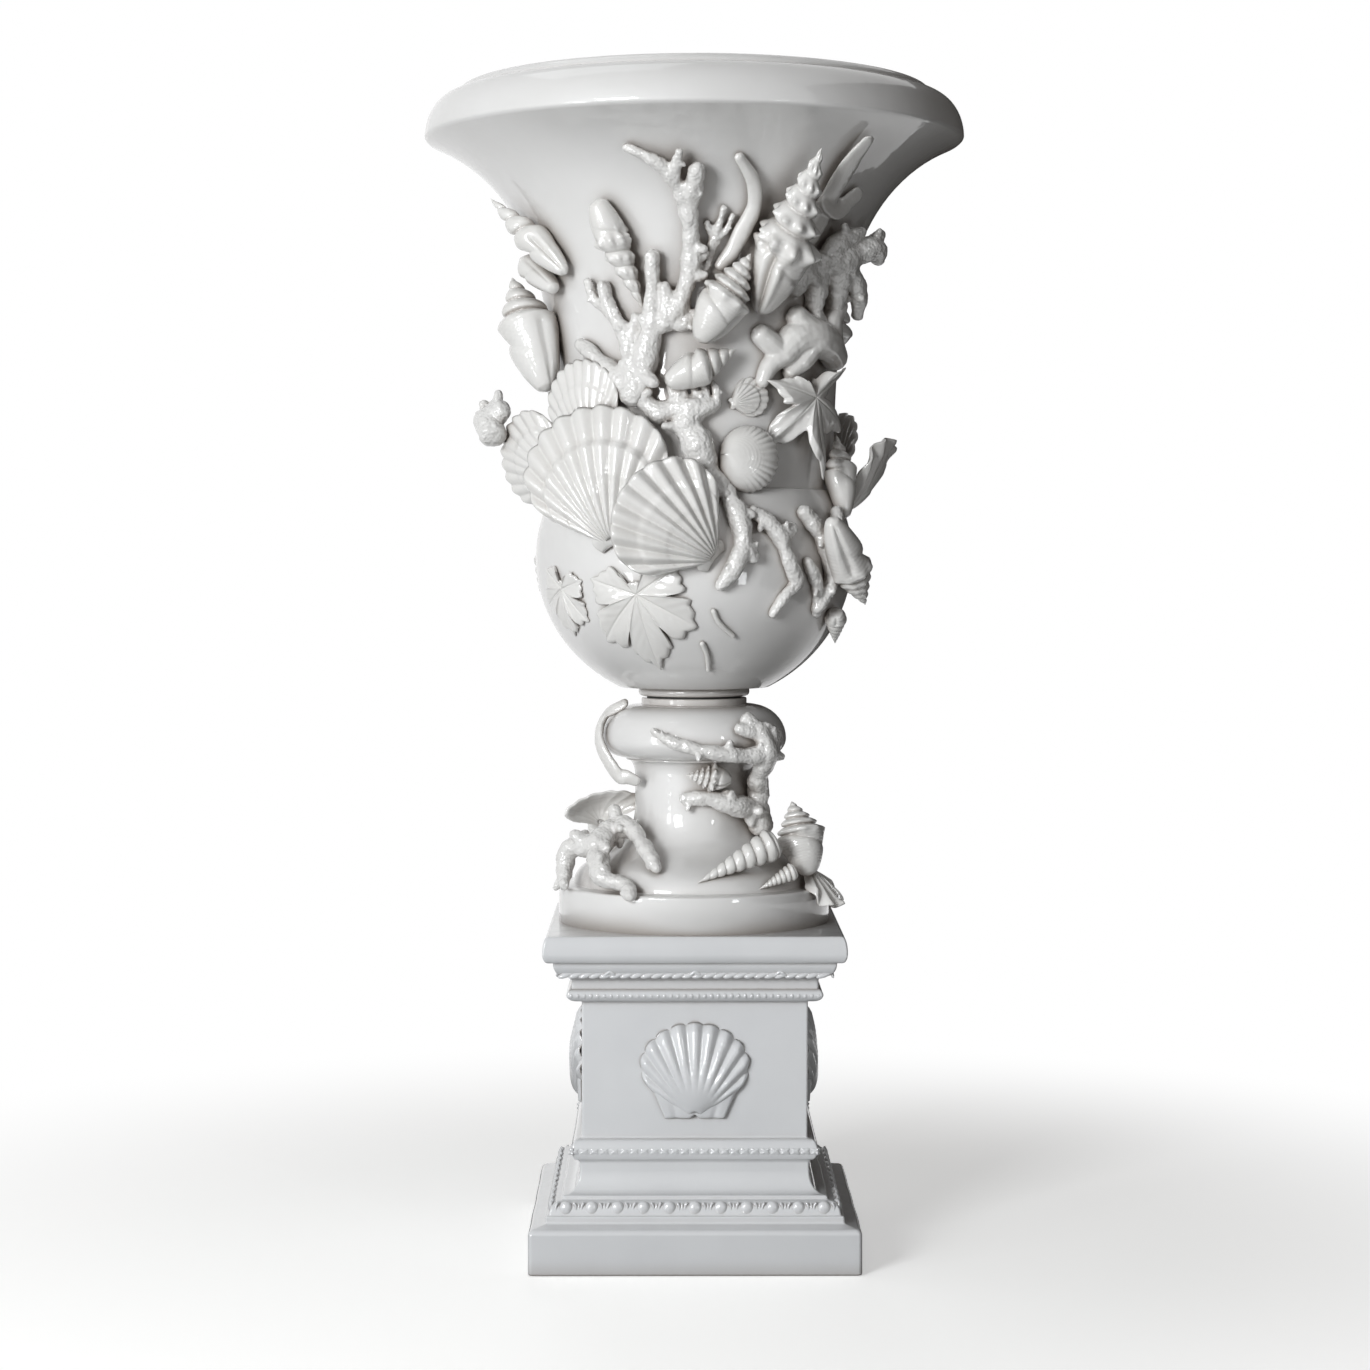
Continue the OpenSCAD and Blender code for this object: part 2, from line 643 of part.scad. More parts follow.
module strap_coral() {
    color(glaze)
        coral([
            [[40, 0.742, 0.105, 0.8], [42, 0.8, 0.145, 0.8], [42, 0.86, 0.185, 0.75],
                [42, 0.89, 0.165, 0.5]],
            [[42, 0.8, 0.145, 0.8], [48, 0.79, 0.145, 0.7], [53, 0.815, 0.145, 0.5]]
        ]);
}
module crag_coral() {
    color(glaze)
        coral([
            [[38, 0.66, 0.113, 0.9], [39, 0.69, 0.173, 1], [46, 0.705, 0.233, 1.1],
                [53, 0.715, 0.333, 1.3], [63, 0.745, 0.533, 1.1], [67, 0.73, 0.593, 0.7]],
            [[53, 0.715, 0.333, 1.3], [60, 0.69, 0.433, 0.9]],
            [[46, 0.705, 0.233, 1.1], [47, 0.65, 0.173, 0.9], [48, 0.62, 0.113, 0.7]],
            [[53, 0.715, 0.333, 1.3], [57, 0.655, 0.233, 1], [60, 0.62, 0.153, 0.8]],
            [[39, 0.69, 0.173, 1], [37, 0.725, 0.233, 0.7]]
        ]);
}
module arch_coral() {
    color(glaze)
        coral([
            [[34, 0.555, 0.125, 0.9], [39, 0.58, 0.165, 1.2], [46, 0.585, 0.225, 1.3],
                [55, 0.575, 0.225, 1.2], [63, 0.556, 0.185, 0.95]],
            [[46, 0.585, 0.225, 1.3], [39, 0.615, 0.165, 0.8]],
            [[34, 0.555, 0.125, 0.9], [25, 0.583, 0.105, 0.75]]
        ]);
}

// Pieces round the middle of the bowl
module rear_scallop_left() {
    color(glaze)
        scallop(on_bowl([-38, 0.39, 0.181]), on_bowl([-48, 0.545, 0.301]), scallop_l * 0.66,
            relief * 0.16, 12);
}
module side_scallop_left() {
    color(glaze)
        scallop(on_bowl([-58, 0.36, -0.037]), on_bowl([-84, 0.42, 0.923]), scallop_l * 0.7,
            relief * 0.2, 12);
}
module great_scallop() {
    color(glaze)
        scallop(on_bowl([-28, 0.245, 0.002]), on_bowl([-39, 0.468, 0.642]), scallop_l * 1.06,
            relief * 0.3, 11, 12);
}
module front_scallop() {
    color(glaze)
        scallop(on_bowl([7, 0.225, -0.005]), on_bowl([-19, 0.312, 1.035]), scallop_l * 0.85,
            relief * 0.32, 10, 12);
}
module coral_knot_left() {
    color(glaze)
        coral([
            [[-80, 0.438, 1.127, 1.4], [-84, 0.46, 1.177, 1.5], [-90, 0.463, 1.077, 1.1]],
            [[-84, 0.46, 1.177, 1.5], [-83, 0.482, 1.027, 0.9]]
        ]);
}
module branch_coral() {
    color(glaze)
        coral([
            [[-14, 0.458, 0.131, 1], [-6, 0.468, 0.131, 1], [0, 0.466, 0.131, 1.05],
                [7, 0.474, 0.131, 0.8]],
            [[-6, 0.468, 0.131, 1], [-7, 0.495, 0.131, 0.6]],
            [[0, 0.466, 0.131, 1.05], [-5, 0.44, 0.161, 0.85], [-3, 0.415, 0.161, 0.6]]
        ]);
}
module cockle_shell() {
    color(glaze)
        scallop(on_bowl([9, 0.392, 0.078]), on_bowl([32, 0.38, 0.178]), scallop_l * 0.46,
            relief * 0.36, 12);
}
module small_fan_shell() {
    color(glaze)
        scallop(on_bowl([13, 0.472, 0.035]), on_bowl([29, 0.494, 0.055]), scallop_l * 0.27,
            relief * 0.1, 9);
}
module curled_vine_leaf() {
    color(glaze)
        vine_leaf([48, 0.463, 0.24], leaf_l * 0.86, 20, -relief * 0.08, relief * 0.16, 0.92);
}
module funnel_leaf() {
    color(glaze)
        scallop(on_bowl([82, 0.31, -0.014]), on_bowl([90, 0.43, 0.986]), scallop_l * 0.6,
            relief * 0.14, 6);
}
module conch_right() {
    color(glaze)
        spiral_shell(on_bowl([70, 0.43, 0.174]), on_bowl([67, 0.29, 0.144]), whelk_r * 0.62,
            whelk_mould_shares);
}
module root_coral_middle() {
    color(glaze)
        coral([
            [[11.5, 0.33, 0.129, 0.85], [15, 0.29, 0.129, 0.9], [16, 0.252, 0.139, 0.95],
                [13, 0.215, 0.129, 0.8], [8.5, 0.187, 0.109, 0.6]],
            [[16, 0.252, 0.139, 0.95], [20, 0.229, 0.119, 0.55]]
        ]);
}
module root_coral_right() {
    color(glaze)
        coral([
            [[21, 0.299, 0.102, 0.72], [26, 0.283, 0.112, 0.76], [30, 0.259, 0.112, 0.82],
                [33.5, 0.222, 0.112, 0.75], [37, 0.192, 0.102, 0.7], [33, 0.17, 0.092, 0.6],
                [29.5, 0.141, 0.072, 0.45]],
            [[30, 0.259, 0.112, 0.82], [35, 0.274, 0.112, 0.66]]
        ]);
}
module whelk_lower_right() {
    color(glaze)
        spiral_shell(on_bowl([70, 0.165, 0.495]), on_bowl([44, 0.28, 0.595]), whelk_r * 0.8,
            whelk_mould_shares);
}
module turret_shell_lower() {
    color(glaze)
        spiral_shell(on_bowl([74, 0.1, 0.243]), on_bowl([60, 0.148, 0.203]), whelk_r * 0.42,
            turret_mould_shares);
}
module twig_coral() {
    color(glaze)
        coral([[[42, 0.222, 0.094, 0.6], [47, 0.19, 0.094, 0.6], [51.5, 0.143, 0.084, 0.45]]]);
}

// Leaves and tendrils under the scallops
module vine_leaf_large() {
    color(glaze)
        vine_leaf([-20, 0.135, 0.025], leaf_l * 0.94, 4, 0, 0, 0.78);
}
module vine_leaf_small() {
    color(glaze)
        vine_leaf([-56, 0.165, 0.011], leaf_l * 0.6, -6, 0, 0, 0.85);
}
module vine_tendrils() {
    color(glaze) {
        coral([[[15.5, 0.106, 0.059, 0.3], [9, 0.128, 0.064, 0.36], [6.5, 0.147, 0.064, 0.36]]]);
        coral([[[7, 0.05, 0.052, 0.3], [5.5, 0.075, 0.057, 0.36], [3, 0.095, 0.057, 0.36]]]);
    }
}

// Pieces on the foot
module foot_coral_right() {
    color(glaze)
        coral([
            [[64, 0.42, 0.22, 1.4], [62, 0.5, 0.23, 1.4], [62, 0.6, 0.24, 1.2], [52, 0.7, 0.4, 1.15],
                [44, 0.79, 0.24, 1.15], [40, 0.845, 0.18, 1.1], [33, 0.9, 0.16, 0.75]],
            [[40, 0.845, 0.18, 1.1], [27, 0.868, 0.13, 0.65]],
            [[44, 0.79, 0.24, 1.15], [54, 0.84, 0.15, 0.85]],
            [[44, 0.79, 0.24, 1.15], [28, 0.785, 0.2, 0.95], [12, 0.79, 0.16, 0.85],
                [0, 0.803, 0.14, 0.75], [-13, 0.823, 0.121, 0.65], [-25, 0.862, 0.1, 0.5]],
            [[62, 0.5, 0.23, 1.4], [46, 0.52, 0.21, 1.25], [32, 0.535, 0.19, 1.15],
                [12, 0.566, 0.15, 1], [-9, 0.565, 0.1, 0.65]],
            [[32, 0.535, 0.19, 1.15], [28, 0.58, 0.18, 0.7]]
        ], true);
}
module foot_whelk() {
    color(glaze)
        spiral_shell(on_foot([-6, 0.69, 0.247]), on_foot([30, 0.645, 0.247]), whelk_r * 0.38,
            whelk_mould_shares);
}
module foot_auger_large() {
    color(glaze)
        spiral_shell(on_foot([1, 0.215, 0.047]), on_foot([41, 0.262, 0.607]), whelk_r * 0.62,
            auger_mould_shares);
}
module foot_auger_small() {
    color(glaze)
        spiral_shell(on_foot([31, 0.185, 0.008]), on_foot([47, 0.2, 0.388]), whelk_r * 0.34,
            auger_mould_shares);
}
module foot_conch() {
    color(glaze)
        spiral_shell(on_foot([61, 0.55, 0.909]), on_foot([58, 0.17, 0.329]), whelk_r * 0.9,
            whelk_mould_shares);
}
module foot_leaf() {
    color(glaze)
        scallop(on_foot([64, 0.23, 0.094]), on_foot([66, 0.07, 0.344]), scallop_l * 0.32,
            relief * 0.08, 5);
}
module foot_coral_left() {
    color(glaze)
        coral([
            [[-64, 0.5, 0.521, 0.7], [-61, 0.37, 0.481, 1.1], [-55, 0.27, 0.421, 1.35],
                [-43, 0.205, 0.281, 1.1], [-32, 0.172, 0.201, 0.9], [-26, 0.14, 0.171, 0.7]],
            [[-61, 0.37, 0.481, 1.1], [-44, 0.355, 0.401, 1], [-28, 0.29, 0.281, 0.85],
                [-19, 0.25, 0.151, 0.65]],
            [[-55, 0.27, 0.421, 1.35], [-69, 0.24, 0.521, 1.1], [-70, 0.175, 0.421, 0.9],
                [-63, 0.15, 0.221, 0.7]],
            [[-69, 0.24, 0.521, 1.1], [-76, 0.28, 0.521, 0.6]]
        ], true);
}
module foot_strand() {
    color(glaze)
        coral([[[-74, 0.955, 0.097, 0.5], [-79, 0.9, 0.117, 0.6], [-72, 0.81, 0.137, 0.7],
            [-62, 0.74, 0.337, 0.7], [-56, 0.68, 0.397, 0.6], [-52, 0.64, 0.277, 0.5]]], true);
}
module foot_dish_shell() {
    color(glaze)
        scallop(on_foot([-80, 0.5, 0.057]), on_foot([-100, 0.33, 0.597]), foot_h * 0.33,
            relief * 0.14, 8);
}

// The round of ornament carries on behind, from the same moulds
module back_scallops() {
    color(glaze) {
        scallop(on_bowl([154, 0.245, 0.008]), on_bowl([142, 0.46, 0.548]), scallop_l, relief * 0.3, 10);
        scallop(on_bowl([196, 0.235, 0.007]), on_bowl([172, 0.33, 1.047]), scallop_l * 0.8,
            relief * 0.3, 9);
        scallop(on_bowl([116, 0.36, -0.03]), on_bowl([104, 0.47, 0.43]), scallop_l * 0.55,
            relief * 0.2, 9);
    }
}
module back_whelks() {
    color(glaze) {
        spiral_shell(on_bowl([212, 0.875, 0.262]), on_bowl([206, 0.62, 0.182]), whelk_r,
            spindle_mould_shares);
        spiral_shell(on_bowl([120, 0.7, 0.411]), on_bowl([132, 0.52, 0.371]), whelk_r * 0.95,
            whelk_mould_shares);
        spiral_shell(on_bowl([190, 0.7, 0.337]), on_bowl([176, 0.57, 0.377]), whelk_r * 0.8,
            whelk_mould_shares);
        spiral_shell(on_bowl([244, 0.18, 0.395]), on_bowl([226, 0.28, 0.495]), whelk_r * 0.72,
            whelk_mould_shares);
    }
}
module back_corals() {
    color(glaze) {
        coral([
            [[152, 0.5, 0.139, 1.1], [158, 0.57, 0.169, 1], [164, 0.65, 0.169, 0.9],
                [168, 0.74, 0.229, 0.75], [163, 0.82, 0.229, 0.55]],
            [[158, 0.57, 0.169, 1], [148, 0.63, 0.169, 0.8], [145, 0.7, 0.169, 0.6]],
            [[168, 0.74, 0.229, 0.75], [175, 0.8, 0.229, 0.5]]
        ]);
        coral([
            [[222, 0.56, 0.113, 0.9], [228, 0.62, 0.133, 1], [238, 0.67, 0.173, 1],
                [246, 0.73, 0.233, 0.7]],
            [[228, 0.62, 0.133, 1], [224, 0.69, 0.133, 0.7]]
        ]);
        coral([
            [[206, 0.36, 0.127, 0.9], [211, 0.3, 0.127, 0.9], [216, 0.25, 0.137, 0.8],
                [214, 0.19, 0.117, 0.6]],
            [[211, 0.3, 0.127, 0.9], [222, 0.32, 0.127, 0.6]]
        ]);
    }
}
module back_leaves() {
    color(glaze) {
        vine_leaf([160, 0.142, 0.026], leaf_l * 0.9, -8, 0, 0, 0.82);
        vine_leaf([236, 0.46, 0.002], leaf_l * 0.8, 24, relief * 0.2, relief * 0.12);
    }
}
module foot_back_coral() {
    color(glaze)
        coral([
            [[196, 0.3, 0.235, 0.9], [204, 0.4, 0.155, 1], [208, 0.52, 0.135, 1], [206, 0.62, 0.175, 0.9],
                [200, 0.7, 0.355, 0.85], [194, 0.79, 0.175, 0.8], [190, 0.86, 0.095, 0.6]],
            [[194, 0.79, 0.175, 0.8], [180, 0.8, 0.135, 0.65], [168, 0.82, 0.095, 0.5]],
            [[196, 0.3, 0.235, 0.9], [186, 0.24, 0.155, 0.7], [178, 0.2, 0.075, 0.5]]
        ], true);
}
module foot_back_shells() {
    color(glaze) {
        spiral_shell(on_foot([146, 0.215, 0.035]), on_foot([176, 0.262, 0.475]), whelk_r * 0.55,
            auger_mould_shares);
        spiral_shell(on_foot([236, 0.5, 0.589]), on_foot([234, 0.2, 0.189]), whelk_r * 0.8,
            whelk_mould_shares);
    }
}

pedestal();
pedestal_scallop_front();
pedestal_scallop_right();
pedestal_scallop_back();
pedestal_scallop_left();
foot();
bowl();
seam_gasket();
tie_rod();
rod_nuts();
rod_washers();
rod_pads();
spindle_shell_left();
oval_shell_left();
great_whelk_left();
turret_shell_upright();
staghorn_coral();
slender_coral();
finger_coral();
whelk_middle();
great_spindle_shell();
moon_snail();
strap_coral();
crag_coral();
arch_coral();
rear_scallop_left();
side_scallop_left();
great_scallop();
front_scallop();
coral_knot_left();
branch_coral();
cockle_shell();
small_fan_shell();
curled_vine_leaf();
funnel_leaf();
conch_right();
root_coral_middle();
root_coral_right();
whelk_lower_right();
turret_shell_lower();
twig_coral();
vine_leaf_large();
vine_leaf_small();
vine_tendrils();
foot_coral_right();
foot_whelk();
foot_auger_large();
foot_auger_small();
foot_conch();
foot_leaf();
foot_coral_left();
foot_strand();
foot_dish_shell();
back_scallops();
back_whelks();
back_corals();
back_leaves();
foot_back_coral();
foot_back_shells();
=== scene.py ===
import math
import random

import bmesh
import bpy
import numpy as np
from mathutils import Matrix, Vector


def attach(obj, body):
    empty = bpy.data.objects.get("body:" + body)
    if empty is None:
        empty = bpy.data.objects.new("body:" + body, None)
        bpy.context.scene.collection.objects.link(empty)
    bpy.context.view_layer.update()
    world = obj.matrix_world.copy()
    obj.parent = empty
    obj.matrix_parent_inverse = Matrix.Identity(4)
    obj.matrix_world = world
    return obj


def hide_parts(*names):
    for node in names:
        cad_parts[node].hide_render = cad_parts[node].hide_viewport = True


bl_info = {
    "name": "Shell vase on a pedestal",
    "version": (1, 0, 0),
    "blender": (4, 5, 0),
    "location": "3D View > Sidebar > Shell Vase",
    "description": "White glazed garden vase dressed with shells, corals and vine leaves",
    "category": "Object",
}

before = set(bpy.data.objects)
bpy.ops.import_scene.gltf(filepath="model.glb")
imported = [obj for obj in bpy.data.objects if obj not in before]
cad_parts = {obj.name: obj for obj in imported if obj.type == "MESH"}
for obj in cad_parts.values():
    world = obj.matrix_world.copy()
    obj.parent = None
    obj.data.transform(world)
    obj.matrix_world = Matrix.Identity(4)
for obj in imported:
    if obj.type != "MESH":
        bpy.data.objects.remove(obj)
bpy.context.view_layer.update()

# Sizes are in millimetres as in the part, and pieces are brought to metres when their mesh is made
MM = 0.001
PLINTH_W, PLINTH_H, BASE_MOULD_H = 340, 47, 84
DADO_W, DADO_H, CAP_W, CAP_H = 233, 141, 311, 72
PEDESTAL_WALL, PEDESTAL_H = 13, 344
RELIEF_SHELL_W, RELIEF_SHELL_H, RELIEF_SHELL_RISE, RELIEF_RIBS = 113, 92, 17, 11
FOOT_H, RING_R, RING_H, BELL_R, WAIST_R = 237, 144, 39, 129, 63
CUSHION_R, COLLAR_R, FOOT_WALL, TREAD_W = 98, 56, 11, 24
# Shares of the foot's height: narrowest place of the bell, top of the stem, seat, fullest place
# and top of the cushion
WAIST_AT, STEM_AT, SEAT_AT, FULL_AT, CUSHION_AT = 0.51, 0.66, 0.735, 0.817, 0.969
BOWL_Z, BOWL_H, TOP_Z = 583, 637, 1220
BULB_R, BULB_Z, BULB_HALF_H, LEDGE_Z, THROAT_R = 168, 729, 155, 800, 146
COLLAR_BEAD_H, COLLAR_BEAD_OUT = 9, 3
LIP_R, LIP_Z, LIP_LAP, MOUTH_R = 284, 1166, 3, 241
# The roll of the lip ends this far outside the mouth, above a small step
ROLL_OUT, STEP_OUT, STEP_H = 12, 9.6, 9
BOWL_WALL, FLOOR_Z, HOLE_R, WEB_Z, WEB_R = 12, 598, 7.5, 570, 40.5
RELIEF, SHELL_T, LEAF_T, CORAL_R = 60, 4, 3.5, 8
# Ornaments sit this much deeper than in the part, in the slip that holds them
SUNK = 1.0
# Rounds that the glaze leaves at the corners of the mouldings, of the plinth and of thrown walls
MOULD_SOFT, PLINTH_SOFT, WALL_SOFT, PLINTH_ROUND = 2.2, 4.5, 1.6, 6
# Rows of trim: half width of the square that they run along on the pedestal, and height
EGG_ROW, DART_ROW, CAP_ROLL, CAP_TIES = (146.2, 64.2), (146.4, 62.4), (139.6, 307), (140.6, 307)
BASE_ROLL, BEAD_ROW, EGG_PITCH = (125.9, 119), (129.2, 280.4), 26.4

# [out share, up share, mode] as in the part: 0 straight, 1 upright first, 2 level first
BASE_MOULD = [
    (0.68, 0.035, 0), (0.68, 0.12, 0), (0.62, 0.125, 0), (0.44, 0.285, 1), (0.37, 0.29, 0),
    (0.37, 0.335, 0), (0.29, 0.34, 0), (0.035, 0.6, 2), (0.035, 0.71, 0), (0.09, 0.74, 0),
    (0.195, 0.865, 2), (0.08, 0.995, 1), (0, 1, 0),
]
CAP_MOULD = [
    (0, 0.02, 0), (0.1, 0.02, 0), (0.38, 0.12, 2), (0.26, 0.21, 1), (0.26, 0.35, 0),
    (0.36, 0.39, 0), (0.73, 0.6, 2), (0.73, 0.62, 0), (0.86, 0.62, 0), (1, 0.76, 2),
    (0.86, 1, 1),
]

# Spiral shells: name, tip, end of canal, girth, mould. A spot is degrees to the right of the
# front, share of the height, and share of the relief that it stands off the wall
SPIRAL_SHELLS = (
    ("spindle_shell_left", (-73, 0.83, 0.319), (-47, 0.688, 0.259), 15.6, "slender"),
    ("oval_shell_left", (-76, 0.728, 0.283), (-54, 0.665, 0.283), 14.56, "olive"),
    ("great_whelk_left", (-77, 0.7, 0.517), (-61, 0.5, 0.397), 28.6, "pear"),
    ("turret_shell_upright", (-18, 0.618, 0.134), (-29, 0.8, 0.234), 16.12, "turret"),
    ("whelk_middle", (17, 0.715, 0.374), (1, 0.57, 0.454), 23.92, "beaded"),
    ("great_spindle_shell", (30, 0.88, 0.246), (23, 0.615, 0.186), 27.04, "spindle"),
    ("moon_snail", (14, 0.56, 0.346), (-10, 0.505, 0.406), 18.2, "moon"),
    ("conch_right", (70, 0.43, 0.174), (67, 0.29, 0.144), 16.12, "pear"),
    ("whelk_lower_right", (70, 0.165, 0.495), (44, 0.28, 0.595), 20.8, "whelk"),
    ("turret_shell_lower", (74, 0.1, 0.243), (60, 0.148, 0.203), 10.92, "grooved"),
    ("foot_whelk", (-7, 0.7, 0.247), (30, 0.65, 0.267), 12.6, "spindle"),
    ("foot_auger_large", (1, 0.215, 0.047), (41, 0.262, 0.607), 16.12, "auger"),
    ("foot_auger_small", (31, 0.185, 0.008), (47, 0.2, 0.388), 8.84, "auger"),
    ("foot_conch", (61, 0.55, 0.909), (58, 0.17, 0.329), 23.4, "whelk"),
    ("back_whelks_1", (212, 0.875, 0.262), (206, 0.62, 0.182), 26, "spindle"),
    ("back_whelks_2", (120, 0.7, 0.411), (132, 0.52, 0.371), 24.7, "pear"),
    ("back_whelks_3", (190, 0.7, 0.337), (176, 0.57, 0.377), 20.8, "beaded"),
    ("back_whelks_4", (244, 0.18, 0.395), (226, 0.28, 0.495), 18.72, "pear"),
    ("foot_back_shells_1", (146, 0.215, 0.035), (176, 0.262, 0.475), 14.3, "auger"),
    ("foot_back_shells_2", (236, 0.5, 0.589), (234, 0.2, 0.189), 20.8, "whelk"),
)
# Scallops and other fans: name, hinge, middle of margin, width, rise, ribs, lean
FANS = (
    ("rear_scallop_left", (-38, 0.39, 0.181), (-48, 0.545, 0.301), 99, 9.6, 12, 0),
    ("side_scallop_left", (-58, 0.36, -0.037), (-84, 0.42, 0.923), 105, 12, 12, 0),
    ("great_scallop", (-28, 0.245, 0.002), (-39, 0.468, 0.642), 159, 18, 11, 12),
    ("front_scallop", (7, 0.225, -0.005), (-19, 0.312, 1.035), 127.5, 19.2, 10, 12),
    ("cockle_shell", (9, 0.392, 0.078), (32, 0.38, 0.178), 69, 21.6, 12, 0),
    ("small_fan_shell", (13, 0.472, 0.035), (29, 0.494, 0.055), 40.5, 6, 9, 0),
    ("funnel_leaf", (82, 0.31, -0.014), (90, 0.43, 0.986), 90, 8.4, 6, 0),
    ("foot_leaf", (64, 0.23, 0.094), (66, 0.07, 0.344), 48, 4.8, 5, 0),
    ("foot_dish_shell", (-97, 0.33, 0.42), (-89, 0.57, 0.6), 86, 16, 8, -66),
    ("back_scallops_1", (154, 0.245, 0.008), (142, 0.46, 0.548), 150, 18, 10, 0),
    ("back_scallops_2", (196, 0.235, 0.007), (172, 0.33, 1.047), 120, 18, 9, 0),
    ("back_scallops_3", (116, 0.36, -0.03), (104, 0.47, 0.43), 82.5, 12, 9, 0),
)
